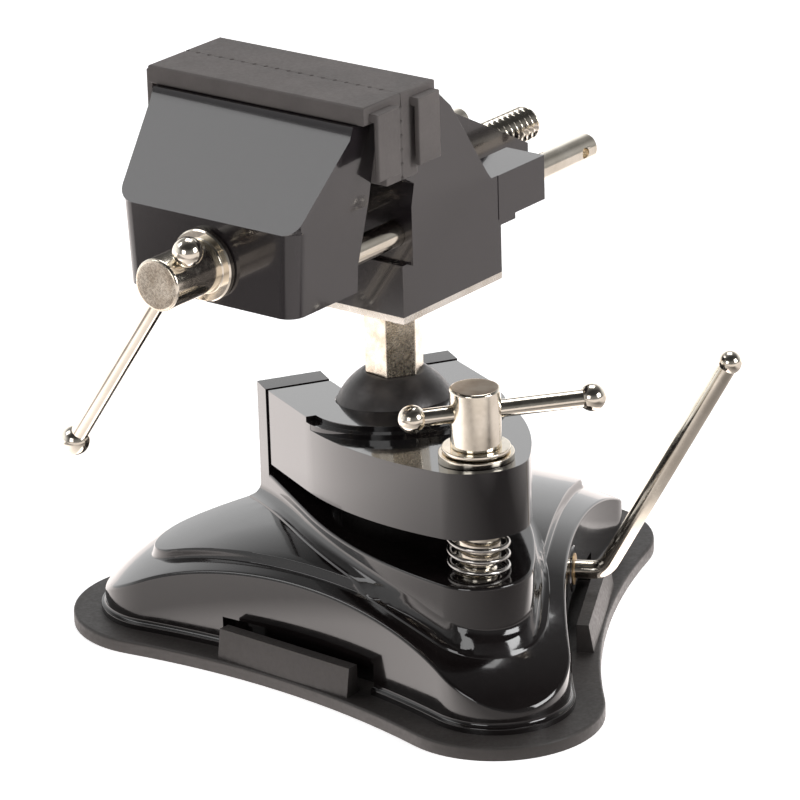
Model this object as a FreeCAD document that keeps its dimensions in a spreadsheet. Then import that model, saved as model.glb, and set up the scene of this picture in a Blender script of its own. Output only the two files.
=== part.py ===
import FreeCAD, Part
import math
import os
import re
import Sketcher

# Suction base vise: a small bench vise on a ball joint, held down by a lever-worked suction pad.
#
# Sizes are in millimetres and degrees.  The origin is the middle of the suction pad on the table,
# +Z is up and -Y is the front, where the ball's clamp screw stands.

SIZES = (
    # suction pad
    ("pad_reach", 99.4),           # centre to the tip of a lobe
    ("pad_tip_radius", 30.0),      # rounding of a lobe's tip
    ("pad_side_reach", 58.0),      # centre to the middle of a hollowed side
    ("pad_thickness", 4.0),
    ("pad_edge", 0.8),             # rounding of the pad's rim
    ("tab_width", 48.0),
    ("tab_thickness", 5.0),
    ("tab_top", 12.5),
    ("tab_inset", 0.8),            # tab's outer face in from the pad's side
    # base casing
    ("casing_inset", 9.6),         # casing wall in from the pad's edge
    ("flange_width", 1.4),
    ("flange_height", 1.8),
    ("casing_wall", 3.0),
    ("dome_height", 34.0),
    ("dome_crown_radius", 218.0),
    ("dome_rim_radius", 18.0),
    ("dome_reach", 91.0),          # centre to the dome's rim
    ("step_reach", 75.0),          # the raised step: centre to its tips
    ("step_tip_radius", 13.5),
    ("step_side_reach", 42.4),
    ("step_height", 2.6),
    ("tab_recess_depth", 4.0),
    ("tab_recess_side", 4.0),
    ("tab_recess_rise", 0.6),
    # lower clamp body and back wall, cast with the casing
    ("clamp_half_width", 29.5),
    ("nose_back", -56.5),          # centre of the clamp's rounded nose
    ("nose_radius", 15.0),
    ("flank_start", 2.0),          # where the straight sides end and the long arcs start
    ("lower_margin", 0.5),         # the lower body outside the plate
    ("lower_top", 40.0),
    ("wall_front", 33.9),
    ("wall_thickness", 7.6),
    ("wall_top", 66.5),
    ("wall_margin", 0.5),
    ("notch_half_width", 10.2),
    ("notch_floor", 52.4),
    # clamp plate
    ("plate_slope", 6.0),
    ("plate_rear_top", 66.3),
    ("plate_height", 22.9),
    ("plate_rear_gap", 0.9),
    ("plateau_drop", 3.3),
    ("shoulder_drop", 1.6),        # the upper of the two steps down to the plateau
    ("shoulder_radius", 26.5),     # the shoulder's round front
    ("shoulder_back", 0.0),        # its middle
    ("shoulder_tread", 3.0),
    ("hinge_height", 47.4),
    ("hinge_radius", 2.0),
    ("hinge_lug_half", 9.0),
    ("hinge_lug_radius", 4.2),
    ("hinge_side_gap", 0.3),
    ("hinge_lug_gap", 0.5),
    ("hinge_pin_left", 17.0),      # pin's blind end from the middle
    ("socket_radius", 19.6),
    ("socket_seat_rise", 3.4),     # where the seat starts above the ball's middle
    # ball joint
    ("ball_back", 6.0),            # ball axis behind the pad's middle
    ("ball_height", 61.7),
    ("ball_radius", 18.4),
    ("ball_gap", 0.25),
    ("ball_flat_radius", 9.0),
    ("seat_radius", 17.0),
    ("seat_top", 50.4),
    ("seat_depth", 5.4),
    ("seat_hole", 6.0),
    ("stem_corner_radius", 8.7),
    ("stem_spigot_radius", 5.0),
    ("stem_spigot_length", 24.0),
    ("stem_top_spigot", 4.0),
    ("stem_turn", 23.0),
    # clamp screw
    ("screw_back", -57.5),
    ("screw_head_radius", 7.15),
    ("screw_head_bottom", 76.9),
    ("screw_head_top", 94.0),
    ("screw_shank_radius", 6.2),
    ("screw_shank_bottom", 42.6),
    ("screw_thread_radius", 5.0),
    ("screw_thread_bottom", 20.0),
    ("screw_hole_radius", 7.9),
    ("screw_chamfer", 0.8),
    ("insert_radius", 7.4),
    ("insert_length", 13.0),
    ("insert_depth", 0.6),
    ("upper_washer_radius", 9.6),
    ("upper_washer_edge", 1.2),
    ("washer_sphere", 40.0),
    ("washer_hole", 6.8),
    ("lower_washer_hole", 7.3),      # room for the screw as the plate tilts
    ("lower_washer_radius", 10.6),
    ("lower_washer_top", 75.3),
    ("washer_gap", 0.12),
    ("spring_radius", 8.3),        # to the middle of the wire
    ("spring_wire", 0.65),
    ("spring_turns", 3.0),
    ("bar_radius", 2.5),
    ("bar_end_radius", 3.9),
    ("clamp_bar_drop", 7.2),       # bar's middle below the screw head's top
    ("clamp_bar_turn", -6.0),
    ("clamp_bar_left", 18.0),
    ("clamp_bar_right", 33.5),
    # suction lever and cam
    ("lever_side", -30.0),         # direction of the lever shaft
    ("lever_height", 19.5),
    ("lever_radius", 2.7),
    ("lever_bend", 57.5),
    ("lever_bend_radius", 6.0),
    ("lever_out", 36.5),
    ("lever_rise", 65.1),
    ("lever_knob_radius", 3.4),
    ("cam_radius", 5.5),
    ("cam_throw", 2.0),
    ("cam_half_width", 3.5),
    ("cam_angle", -47.5),          # where the cam points at rest
    ("cam_pin_radius", 0.75),
    ("shaft_end", -19.0),
    ("bush_radius", 4.6),
    ("bush_proud", 0.5),
    ("boss_wall", 2.4),            # of the boss round the outer bush
    ("boss_length", 6.0),
    ("boss_proud", 0.3),           # past the casing's wall
    ("bearing_half", 7.0),         # half width of the inner bearing post
    ("bearing_near", -9.0),
    ("bearing_length", 7.0),
    ("clip_radius", 4.4),
    ("clip_thickness", 0.8),
    ("clip_gap", 0.2),
    ("clip_groove", 0.7),          # depth of its groove
    ("cam_pin_sink", 0.3),         # pin's head below the cam's rim
    ("cam_pin_tail", 0.6),         # pin past the shaft on the thin side
    # pad stud
    ("disc_radius", 25.0),
    ("disc_thickness", 2.0),
    ("disc_rounding", 0.5),
    ("stud_foot", 2.2),
    ("stud_foot_radius", 13.0),
    ("stud_post", 3.2),
    ("stud_gap", 0.25),
    ("stud_half_depth", 4.6),
    ("stud_bar", 3.0),
    ("return_reach", 19.5),
    ("return_radius", 3.2),
    ("return_wire", 0.5),
    ("return_turns", 6.0),
    # head
    ("head_turn", -58.1),          # the head turned on its stem
    ("jaw_line", -41.9),           # where the jaws meet, from the ball axis
    ("mount_plate_thickness", 2.0),
    ("block_bottom", 107.6),
    ("block_top", 122.8),
    ("block_half_width", 27.2),
    ("block_front", 12.0),         # from the jaw line back
    ("block_rear", 58.0),
    ("plate_screw_radius", 1.5),
    ("plate_screw_head", 2.6),
    ("plate_screw_head_height", 1.4),
    ("plate_screw_length", 7.0),
    ("plate_screw_side", 22.0),
    ("plate_screw_inset", 5.0),
    ("rod_side", 23.0),
    ("rod_height", 131.0),
    ("rod_radius", 3.75),
    ("rod_rear", 106.5),
    ("rod_gap", 0.06),
    ("arm_half_width", 6.6),
    ("arm_rear", 76.0),
    ("arm_bottom", 124.6),
    ("arm_top", 137.8),
    ("lead_height", 133.7),
    ("jaw_top", 172.3),
    ("jaw_top_half", 34.8),
    ("jaw_mid_half", 30.8),
    ("jaw_low_half", 29.4),
    ("jaw_bottom", 122.6),
    ("throat_front", 14.0),
    ("throat_top", 151.0),
    ("throat_slope", 4.0),
    ("taper_start", 140.0),        # the sides widen above this
    ("fixed_back", 20.0),
    ("slope_top_back", 27.3),
    ("slope_top", 166.3),
    ("slope_foot_back", 54.0),
    ("slope_foot", 134.2),
    ("side_wall", 5.0),
    ("floor_rear", 62.0),
    ("floor_top", 127.0),
    ("gusset_half", 8.6),
    ("gusset_rear", 97.0),
    ("gusset_rear_top", 132.0),
    ("gusset_front_top", 169.0),
    ("gusset_bottom", 124.6),
    ("nut_radius", 7.0),
    ("nut_length", 18.0),
    ("moving_low_back", 11.0),
    ("moving_low_height", 130.0),
    ("moving_top_front", 17.4),
    ("slant_top_front", 18.9),
    ("slant_top", 169.0),
    ("slant_foot_front", 39.2),
    ("slant_foot", 146.5),
    ("moving_front_round", 5.0),
    # soft jaw covers
    ("cover_half", 37.5),
    ("cover_thickness", 5.4),      # over the jaw's top
    ("cover_face", 6.8),
    ("cover_drop", 19.3),          # its face below the jaw's top
    ("front_cover_reach", 16.1),
    ("back_cover_reach", 15.2),
    ("cover_meet", 0.1),
    ("tooth_pitch", 4.0),
    ("tooth_depth", 0.7),
    ("clip_tab_width", 9.5),
    ("clip_tab_thickness", 1.8),
    ("clip_tab_gap", 1.2),
    ("clip_tab_rise", 3.3),        # over the jaw's top
    ("clip_tab_drop", 15.7),
    ("clip_tab_inset", 4.2),
    ("clip_tab_web", 2.4),
    ("cover_seat_gap", 0.1),
    # lead screw and tommy bar
    ("lead_head_radius", 7.4),
    ("lead_face", 60.5),           # from the jaw line forward
    ("lead_collar_radius", 10.2),
    ("lead_collar_length", 2.2),
    ("lead_head_chamfer", 0.9),
    ("lead_root_radius", 4.3),
    ("lead_crest_radius", 5.1),
    ("lead_rear", 109.0),
    ("lead_groove_radius", 4.2),
    ("clip_radius_jaw", 7.2),      # the clip that holds the screw in the moving jaw
    ("tommy_in", 6.5),             # bar's middle behind the head's face
    ("tommy_drop", 55.2),          # below the horizontal
    ("tommy_long", 66.5),
    ("bar_stop_gap", 0.05),        # between a bar's end and the hole that stops it
    ("tommy_end_radius", 4.2),
    ("bar_gap", 0.08),
    ("shaft_gap", 0.06),
    ("press_gap", 0.02),           # round a bar in the ball pressed on its end
    ("face_gap", 0.1),
    ("hole_room", 0.6),            # a clearance hole past what goes through it
    ("rod_screw_radius", 1.5),
    ("rod_screw_front", 20.0),
    ("rod_screw_sink", 0.4),
    ("rod_hole_radius", 1.6),
    ("rod_hole_back", 6.0),
    ("rod_chamfer", 0.5),
    ("rod_front", 26.0),           # from the jaw line forward
)
NAMES = {name for name, size in SIZES}
QUARTER_TURN = 90.0
HALF_TURN = 180.0
FULL_TURN = 360.0
TINY = 1e-4                        # lengths below this count as nothing

doc = FreeCAD.newDocument("SuctionVise")
sheet = doc.addObject("Spreadsheet::Sheet", "Sizes")
for row, (name, size) in enumerate(SIZES, start=1):
    sheet.set("A%d" % row, name)
    sheet.set("B%d" % row, str(size))
    sheet.setAlias("B%d" % row, name)
doc.recompute()


def bound(text):
    """Point each size name in an expression at its cell."""

    def pointed(word):
        name = word.group()
        return "Sizes." + name if name in NAMES else name

    return re.sub(r"[a-z][a-z_]*", pointed, text)


def value(text):
    """The number that an expression of sizes gives."""
    result = sheet.evalExpression(bound(text))
    return float(getattr(result, "Value", result))


def vector(x, y, z):
    return FreeCAD.Vector(x, y, z)


X_AXIS = vector(1, 0, 0)
Y_AXIS = vector(0, 1, 0)
Z_AXIS = vector(0, 0, 1)


def at(x=0.0, y=0.0, z=0.0, axis=Z_AXIS, angle=0.0):
    """A place: a turn about an axis, then a shift."""
    return FreeCAD.Placement(vector(x, y, z), FreeCAD.Rotation(axis, angle))


# a sketch's own axes, and the points of its geometry, as its constraints number them
SKETCH_LEVEL, SKETCH_UPRIGHT = -1, -2
START, END, CENTRE = 1, 2, 3


class Piece:
    """One PartDesign body; every sketch and feature reads its sizes from the sheet."""

    def __init__(self, label):
        self.body = doc.addObject("PartDesign::Body", "Body_" + label)
        self.body.Label = label
        self.tip = None

    def sketch(self, role, offset="0"):
        """A sketch on an origin plane, shifted along that plane's normal."""
        plane = next(item for item in self.body.Origin.OriginFeatures if item.Role == role)
        sketch = self.body.newObject("Sketcher::SketchObject", "Sketch")
        sketch.AttachmentSupport = [(plane, "")]
        sketch.MapMode = "FlatFace"
        sketch.setExpression(".AttachmentOffset.Base.z", bound(offset))
        return sketch

    @staticmethod
    def fix(sketch, geometry, point, axis, text):
        """Hold one coordinate of a point at an expression; on the axis itself when it is zero."""
        if text == "0":
            line_on = SKETCH_UPRIGHT if axis == "X" else SKETCH_LEVEL
            sketch.addConstraint(Sketcher.Constraint("PointOnObject", geometry, point, line_on))
            return
        held = Sketcher.Constraint("Distance" + axis, SKETCH_LEVEL, START, geometry, point, value(text))
        number = sketch.addConstraint(held)
        sketch.setExpression("Constraints[%d]" % number, bound(text))

    def polygon(self, sketch, points):
        """A closed outline through corners given as pairs of expressions."""
        places = [vector(value(x), value(y), 0) for x, y in points]
        first = sketch.GeometryCount
        count = len(points)
        for index in range(count):
            sketch.addGeometry(Part.LineSegment(places[index], places[(index + 1) % count]), False)
        for index, (x, y) in enumerate(points):
            following = first + (index - 1) % count
            sketch.addConstraint(Sketcher.Constraint("Coincident", following, END, first + index, START))
            self.fix(sketch, first + index, START, "X", x)
            self.fix(sketch, first + index, START, "Y", y)

    def circle(self, sketch, x, y, radius):
        shape = Part.Circle(vector(value(x), value(y), 0), Z_AXIS, value(radius))
        number = sketch.addGeometry(shape, False)
        self.fix(sketch, number, CENTRE, "X", x)
        self.fix(sketch, number, CENTRE, "Y", y)
        held = sketch.addConstraint(Sketcher.Constraint("Radius", number, value(radius)))
        sketch.setExpression("Constraints[%d]" % held, bound(radius))

    def feature(self, kind, sketch, length=None):
        """Add a feature of a sketch and check that it changed the solid."""
        before = self.body.Shape.Volume if self.tip else 0.0
        feature = self.body.newObject("PartDesign::" + kind, kind)
        feature.Profile = sketch
        if length is None:
            feature.ReferenceAxis = (sketch, ["V_Axis"])
            feature.Angle = FULL_TURN
        else:
            feature.setExpression("Length", bound(length))
        if kind == "Pocket":
            feature.Reversed = True
        doc.recompute()
        self.tip = feature
        if abs(self.body.Shape.Volume - before) < TINY:
            raise ValueError("%s changes nothing on %s" % (kind, self.body.Label))
        return self

    def pad(self, role, points, start, length):
        sketch = self.sketch(role, start)
        self.polygon(sketch, points)
        return self.feature("Pad", sketch, length)

    def pocket(self, role, points, start, length):
        sketch = self.sketch(role, start)
        self.polygon(sketch, points)
        return self.feature("Pocket", sketch, length)

    def rounds(self, role, kind, circles, start, length):
        """Pad or pocket a set of circles, each an x, a y and a radius."""
        sketch = self.sketch(role, start)
        for x, y, radius in circles:
            self.circle(sketch, x, y, radius)
        return self.feature(kind, sketch, length)

    def turn(self, points):
        """Revolve an outline of radius and height about the upright axis."""
        sketch = self.sketch("XZ_Plane")
        self.polygon(sketch, points)
        return self.feature("Revolution", sketch)

    def edges(self, test):
        return ["Edge%d" % number for number, edge in enumerate(self.tip.Shape.Edges, start=1) if test(edge)]

    def dress(self, kind, test, size):
        """Fillet or chamfer the edges that pass a test."""
        names = self.edges(test)
        feature = self.body.newObject("PartDesign::" + kind, kind)
        feature.Base = (self.tip, names)
        feature.setExpression("Radius" if kind == "Fillet" else "Size", bound(size))
        doc.recompute()
        self.tip = feature
        return self

    def row(self, kind, points, role, start, length, axis, pitch, count):
        """Repeat a pocket or pad along an axis of its own sketch."""
        sketch = self.sketch(role, start)
        self.polygon(sketch, points)
        self.feature(kind, sketch, length)
        pattern = self.body.newObject("PartDesign::LinearPattern", "Row")
        pattern.Originals = [self.tip]
        pattern.Direction = (sketch, [axis])
        pattern.setExpression("Length", bound("(%s) * %d" % (pitch, count - 1)))
        pattern.Occurrences = count
        self.body.Tip = pattern
        doc.recompute()
        self.tip = pattern
        return self

    def place(self, placement):
        self.body.Placement = placement
        return self


def made(label, shape, placement=None):
    """A sub-part whose shape is worked out here from the sheet's sizes."""
    feature = doc.addObject("Part::Feature", "Shape_" + label)
    feature.Label = label
    feature.Shape = shape
    feature.Placement = (placement or at()) * shape.Placement
    return feature


def primitive(kind, place, **sizes):
    """A Part primitive with its sizes bound to the sheet."""
    item = doc.addObject("Part::" + kind, kind)
    for name, text in sizes.items():
        item.setExpression(name, bound(text))
    item.Placement = place
    return item


def cut(label, base, tools, placement=None):
    """A base primitive less a set of others."""
    fused = tools[0]
    if len(tools) > 1:
        fused = doc.addObject("Part::MultiFuse", "Tools")
        fused.Shapes = tools
    item = doc.addObject("Part::Cut", "Cut_" + label)
    item.Base = base
    item.Tool = fused
    item.Label = label
    item.Placement = placement or at()
    return item


def along_y(near, far):
    """Start and length, for a sketch on the XZ plane, of a run from one Y to another."""
    return "-(%s)" % far, "(%s) - (%s)" % (far, near)


def both_sides(half):
    """Start and length of a run to both sides of a plane."""
    return "-(%s)" % half, "2 * (%s)" % half


def rectangle(left, right, bottom, top):
    return [(left, bottom), (right, bottom), (right, top), (left, top)]


def mirrored(points):
    """The same outline on the other side of the upright axis."""
    return [("-(%s)" % x, y) for x, y in points]


def group(label, items, placement=None):
    """Separate solids that share a node."""
    item = doc.addObject("Part::Compound", "Group_" + label)
    item.Links = items
    item.Label = label
    item.Placement = placement or at()
    return item


# ---- outlines and solids of the cast base

LOBES = (-90.0, 30.0, 150.0)
LOBE_STEP = 120.0
HALF_STEP = LOBE_STEP / 2
SIDES = tuple(lobe + HALF_STEP for lobe in LOBES)


def polar(distance, angle, height=0.0):
    turn = math.radians(angle)
    return vector(distance * math.cos(turn), distance * math.sin(turn), height)


def arc(start, middle, end):
    return Part.Arc(start, middle, end).toShape()


def line(start, end):
    return Part.LineSegment(start, end).toShape()


def towards(start, target, distance):
    """The point at a distance from one point in another's direction."""
    return start + (target - start).normalize() * distance


def lobed_face(reach, tip, side, height):
    """Three round tips joined by hollowed sides, each arc tangent to the next."""
    out = reach - tip
    hollow = (tip ** 2 - side ** 2 + out * side - out ** 2) / (2 * side - out - 2 * tip)
    edges = []
    for lobe in LOBES:
        middle = polar(out, lobe, height)
        before, after = [polar(side + hollow, lobe + turn, height) for turn in (-HALF_STEP, HALF_STEP)]
        leaving = towards(middle, after, tip)
        edges.append(arc(towards(middle, before, tip), polar(reach, lobe, height), leaving))
        landing = towards(polar(out, lobe + LOBE_STEP, height), after, tip)
        edges.append(arc(leaving, polar(side, lobe + HALF_STEP, height), landing))
    return Part.Face(Part.Wire(edges))


def base_face(inset, height):
    """The pad's outline drawn in by an inset."""
    reach, tip, side = [value(name) - inset for name in ("pad_reach", "pad_tip_radius", "pad_side_reach")]
    return lobed_face(reach, tip, side, height)


def raised(face, height):
    return face.extrude(vector(0, 0, height))


def box(left, right, front, back, bottom, top):
    return Part.makeBox(right - left, back - front, top - bottom, vector(left, front, bottom))


def side_box(direction, near, far, half, bottom, top):
    """A box that lies across one of the base's directions."""
    item = box(near, far, -half, half, bottom, top)
    item.rotate(vector(0, 0, 0), Z_AXIS, direction)
    return item


def leaning(angle):
    """A direction in the XZ plane, leaning from upright towards +X."""
    return vector(math.sin(angle), 0, math.cos(angle))


def dome(inset, lift=0.0):
    """A round dome: a flat-domed crown that runs into a tight rim, over an upright foot."""
    crown = value("dome_crown_radius")
    rim = value("dome_rim_radius")
    reach = value("dome_reach") - rim
    crown_centre = vector(0, 0, value("dome_height") - crown)
    turn = math.asin(reach / (crown - rim))
    rim_centre = crown_centre + leaning(turn) * (crown - rim)
    joint = rim_centre + leaning(turn) * (rim - inset)
    top = vector(0, 0, value("dome_height") - inset)
    side = rim_centre + vector(rim - inset, 0, 0)
    foot = vector(side.x, 0, 0)
    middle = vector(0, 0, 0)
    edges = [arc(top, crown_centre + leaning(turn / 2) * (crown - inset), joint),
             arc(joint, rim_centre + leaning((turn + math.pi / 2) / 2) * (rim - inset), side),
             line(side, foot), line(foot, middle), line(middle, top)]
    solid = Part.Face(Part.Wire(edges)).revolve(middle, Z_AXIS, FULL_TURN)
    solid.translate(vector(0, 0, lift))
    return solid


def clamp_face(margin, back, height):
    """The clamp's plan: straight sides, long flank arcs and a round nose."""
    half = value("clamp_half_width") + margin
    nose = value("nose_radius") + margin
    shoulder = value("flank_start")
    centre = vector(0, value("nose_back"), height)
    flank = (half ** 2 + (shoulder - centre.y) ** 2 - nose ** 2) / (2 * (half - nose))
    sides = []
    for side in (1, -1):
        pivot = vector(side * (half - flank), shoulder, height)
        touch = towards(pivot, centre, flank)
        halfway = towards(pivot, vector(side * half, shoulder, height) + touch - pivot, flank)
        corner = vector(side * half, back, height)
        sides.append((corner, vector(side * half, shoulder, height), halfway, touch))
    (corner, start, middle, touch), (far_corner, far_start, far_middle, far_touch) = sides
    edges = [line(far_corner, corner), line(corner, start), arc(start, middle, touch)]
    edges.append(arc(touch, vector(0, centre.y - nose, height), far_touch))
    edges += [arc(far_touch, far_middle, far_start), line(far_start, far_corner)]
    return Part.Face(Part.Wire(edges))


def rod(radius, length, start, axis=Z_AXIS):
    return Part.makeCylinder(radius, length, start, axis)


# ---- the suction pad and the cast base


def suction_pad():
    thick = value("pad_thickness")
    slab = raised(base_face(0, 0), thick)
    rim = [edge for edge in slab.Edges if edge.BoundBox.ZMin > thick - TINY]
    slab = slab.makeFillet(value("pad_edge"), rim)
    outer = value("pad_side_reach - tab_inset")
    for direction in SIDES:
        near = outer - value("tab_thickness")
        slab = slab.fuse(side_box(direction, near, outer, value("tab_width / 2"), 0, value("tab_top")))
    return made("suction_pad", slab.removeSplitter())


def base_casing():
    floor = value("pad_thickness")
    inset = value("casing_inset")
    skin = value("casing_wall")
    tall = value("wall_top")
    side = value("pad_side_reach") - inset
    shell = raised(base_face(inset, floor), tall).common(dome(0))
    flange = raised(base_face(inset - value("flange_width"), floor), value("flange_height"))
    outline = lobed_face(value("step_reach"), value("step_tip_radius"), value("step_side_reach"), floor)
    step = raised(outline, tall).common(dome(0, value("step_height")))
    margin = value("lower_margin")
    body = raised(clamp_face(margin, value("wall_front"), floor), value("lower_top") - floor)
    wall_half = value("clamp_half_width + wall_margin")
    front = value("wall_front")
    back = front + value("wall_thickness")
    wall = box(-wall_half, wall_half, front, back, floor, tall)
    # hollow under the dome, with thicker stretches behind the pad's tabs
    hollow = raised(base_face(inset + skin, 0), tall).common(dome(skin))
    recess_half = value("tab_width / 2 + tab_recess_side")
    recess_top = value("tab_top + tab_recess_rise")
    recess_near = side - value("tab_recess_depth")
    for direction in SIDES:
        backing = side_box(direction, recess_near - skin, side, recess_half + skin, 0, recess_top + skin)
        hollow = hollow.cut(backing)
    casing = shell.fuse([flange, step, body, wall]).cut(hollow)
    for direction in SIDES:
        casing = casing.cut(side_box(direction, recess_near, value("pad_reach"), recess_half, 0, recess_top))
    # bearings of the lever's shaft: a boss in the wall and a post under the roof
    along = polar(1, value("lever_side"))
    shaft = vector(0, 0, value("lever_height"))
    boss_radius = value("bush_radius + boss_wall")
    boss_near = side - value("boss_length - boss_proud")
    boss = rod(boss_radius, value("boss_length"), shaft + along * boss_near, along)
    post = side_box(value("lever_side"), value("bearing_near - bearing_length"), value("bearing_near"),
                    value("bearing_half"), shaft.z, value("dome_height - casing_wall / 2"))
    foot = rod(value("bearing_half"), value("bearing_length"),
               shaft + along * value("bearing_near - bearing_length"), along)
    casing = casing.fuse([boss, post, foot])
    bush = value("bush_radius")
    casing = casing.cut(rod(bush, value("boss_length") + 2 * skin, shaft + along * (boss_near - skin), along))
    casing = casing.cut(rod(bush, value("bearing_length") + 2 * skin,
                            shaft + along * (value("bearing_near - bearing_length") - skin), along))
    # ball seat, threaded insert and the notch for the stem and the plate's hinge
    top = value("lower_top")
    seat = vector(0, value("ball_back"), top - value("seat_depth"))
    casing = casing.cut(rod(value("seat_radius + bar_gap"), value("seat_depth") + skin, seat))
    insert_low = top - value("insert_depth + insert_length")
    screw_place = vector(0, value("screw_back"), insert_low)
    casing = casing.cut(rod(value("insert_radius"), top, screw_place))
    casing = casing.cut(rod(value("screw_thread_radius + hole_room"), top, vector(0, value("screw_back"), 0)))
    notch = value("notch_half_width")
    casing = casing.cut(box(-notch, notch, front - skin, back + skin, value("notch_floor"), tall + skin))
    slot = value("hinge_lug_half + hinge_side_gap")
    slot_floor = value("hinge_height - hinge_lug_radius - hinge_lug_gap")
    casing = casing.cut(box(-slot, slot, front - skin, back + skin, slot_floor, tall))
    hinge = vector(value("-hinge_pin_left"), front + value("wall_thickness / 2"), value("hinge_height"))
    casing = casing.cut(rod(value("hinge_radius"), value("hinge_pin_left") + wall_half, hinge, X_AXIS))
    return made("base_casing", casing.removeSplitter())


def small_base_parts():
    """Bushes, pin, insert and seat: turned pieces set into the casting."""
    lever = at(0, 0, value("lever_height"), Z_AXIS, value("lever_side")) * at(0, 0, 0, Y_AXIS, QUARTER_TURN)
    side = "pad_side_reach - casing_inset"
    runs = (("shaft_bush", side + " - boss_length + boss_proud", side + " + bush_proud"),
            ("inner_bush", "bearing_near - bearing_length", "bearing_near"))
    for label, near, far in runs:
        outline = rectangle("lever_radius + shaft_gap", "bush_radius", near, far)
        Piece(label).turn(outline).place(lever)
    pin = primitive("Cylinder", at(), Radius="hinge_radius",
                    Height="hinge_pin_left + clamp_half_width + wall_margin")
    pin.Label = "hinge_pin"
    pin.Placement = at(value("-hinge_pin_left"), value("wall_front + wall_thickness / 2"),
                       value("hinge_height"), Y_AXIS, QUARTER_TURN)
    insert_top = "lower_top - insert_depth"
    outline = rectangle("screw_thread_radius + shaft_gap", "insert_radius",
                        insert_top + " - insert_length", insert_top)
    Piece("screw_insert").turn(outline).place(at(0, value("screw_back"), 0))


def ball_seat():
    """A cup that carries the ball: a ring cut to the ball's round."""
    place = at(0, value("ball_back"), 0)
    ring = primitive("Cylinder", at(0, 0, value("lower_top - seat_depth")), Radius="seat_radius",
                     Height="seat_top - lower_top + seat_depth")
    hollow = primitive("Sphere", at(0, 0, value("ball_height")), Radius="ball_radius + ball_gap")
    hole = primitive("Cylinder", at(), Radius="seat_hole", Height="ball_height")
    cut("ball_seat", ring, [hollow, hole], place)


# ---- suction lever, cam and pad stud


def lever():
    """Shaft, bent arm and knob; the arm leans out as it rises."""
    frame = at(0, 0, value("lever_height"), Z_AXIS, value("lever_side")) * at(0, 0, 0, Y_AXIS, QUARTER_TURN)
    radius = value("lever_radius")
    bend = vector(0, 0, value("lever_bend"))
    knob = bend + vector(-value("lever_rise"), 0, value("lever_out"))
    back = vector(0, 0, -1)
    ahead = (knob - bend).normalize()
    turn = ahead.getAngle(Z_AXIS)
    curve = value("lever_bend_radius")
    leg = curve * math.tan(turn / 2)
    halfway = bend + (back + ahead).normalize() * (curve / math.cos(turn / 2) - curve)
    start = vector(0, 0, value("shaft_end"))
    route = Part.Wire([line(start, bend + back * leg), arc(bend + back * leg, halfway, bend + ahead * leg),
                       line(bend + ahead * leg, knob)])
    section = Part.Wire([Part.Circle(start, Z_AXIS, radius).toShape()])
    rod_shape = route.makePipeShell([section], True, False)
    # groove for the clip and the cross hole for the cam's pin
    clip_start = value("bearing_near - bearing_length - clip_gap - clip_thickness")
    clip_place = vector(0, 0, clip_start)
    thin = value("clip_thickness")
    inside = rod(value("lever_radius - clip_groove"), thin, clip_place)
    groove = rod(value("clip_radius"), thin, clip_place).cut(inside)
    pin = cam_pin_shape()
    made("lever_rod", rod_shape.cut(groove).cut(pin), frame)
    back_along = ahead * -1
    ball = Part.makeSphere(value("lever_knob_radius"), knob, back_along)
    ball = ball.cut(rod(value("lever_radius + press_gap"), value("lever_knob_radius"), knob, back_along))
    made("lever_knob", ball, frame)
    made("shaft_clip", groove, frame)
    centre = cam_direction() * value("cam_throw")
    width = value("cam_half_width")
    disc = rod(value("cam_radius"), 2 * width, centre + vector(0, 0, -width))
    disc = disc.cut(rod(radius, 2 * width, vector(0, 0, -width))).cut(pin)
    made("cam", disc, frame)
    made("cam_pin", pin, frame)


def cam_direction():
    """Where the cam's fat side points, across the shaft."""
    turn = math.radians(value("cam_angle"))
    return vector(-math.sin(turn), math.cos(turn), 0)


def cam_pin_shape():
    """The pin that holds the cam, from its fat side through the shaft."""
    ahead = cam_direction()
    length = value("cam_radius + cam_throw - cam_pin_sink + lever_radius + cam_pin_tail")
    start = ahead * -value("lever_radius + cam_pin_tail")
    return rod(value("cam_pin_radius"), length, start, ahead)


def pad_stud():
    """A foot and an upright frame that the cam lifts."""
    middle = "lever_height + cam_throw * sin(cam_angle)"
    window = rectangle("-(cam_radius + cam_throw + stud_gap)", "cam_radius + cam_throw + stud_gap",
                       middle + " - cam_radius - stud_gap", middle + " + cam_radius + stud_gap")
    half = "cam_radius + cam_throw + stud_gap + stud_post"
    foot = "pad_thickness + disc_thickness"
    start, length = both_sides("stud_half_depth")
    piece = Piece("pad_stud").turn(rectangle("0", "stud_foot_radius", foot, foot + " + stud_foot"))
    top = middle + " + cam_radius + stud_gap + stud_bar"
    piece.pad("YZ_Plane", rectangle("-(%s)" % half, half, foot, top), start, length)
    piece.pocket("YZ_Plane", window, start, length)
    piece.place(at(0, 0, 0, Z_AXIS, value("lever_side")))
    outline = rectangle("0", "disc_radius", "pad_thickness", foot)
    top = value(foot)
    Piece("backing_disc").turn(outline).dress("Fillet", lambda edge: edge.BoundBox.ZMin > top - TINY,
                                              "disc_rounding")


def coil(radius, wire, turns, bottom, top):
    """A spring of round wire about the upright axis."""
    rise = top - bottom - 2 * wire
    path = Part.Wire(Part.makeHelix(rise / turns, rise, radius).Edges)
    slope = math.atan2(rise / turns, 2 * math.pi * radius)
    along = vector(0, math.cos(slope), math.sin(slope))
    section = Part.Wire([Part.Circle(vector(radius, 0, 0), along, wire).toShape()])
    spring = path.makePipeShell([section], True, True)
    spring.translate(vector(0, 0, bottom + wire))
    return spring


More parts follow.
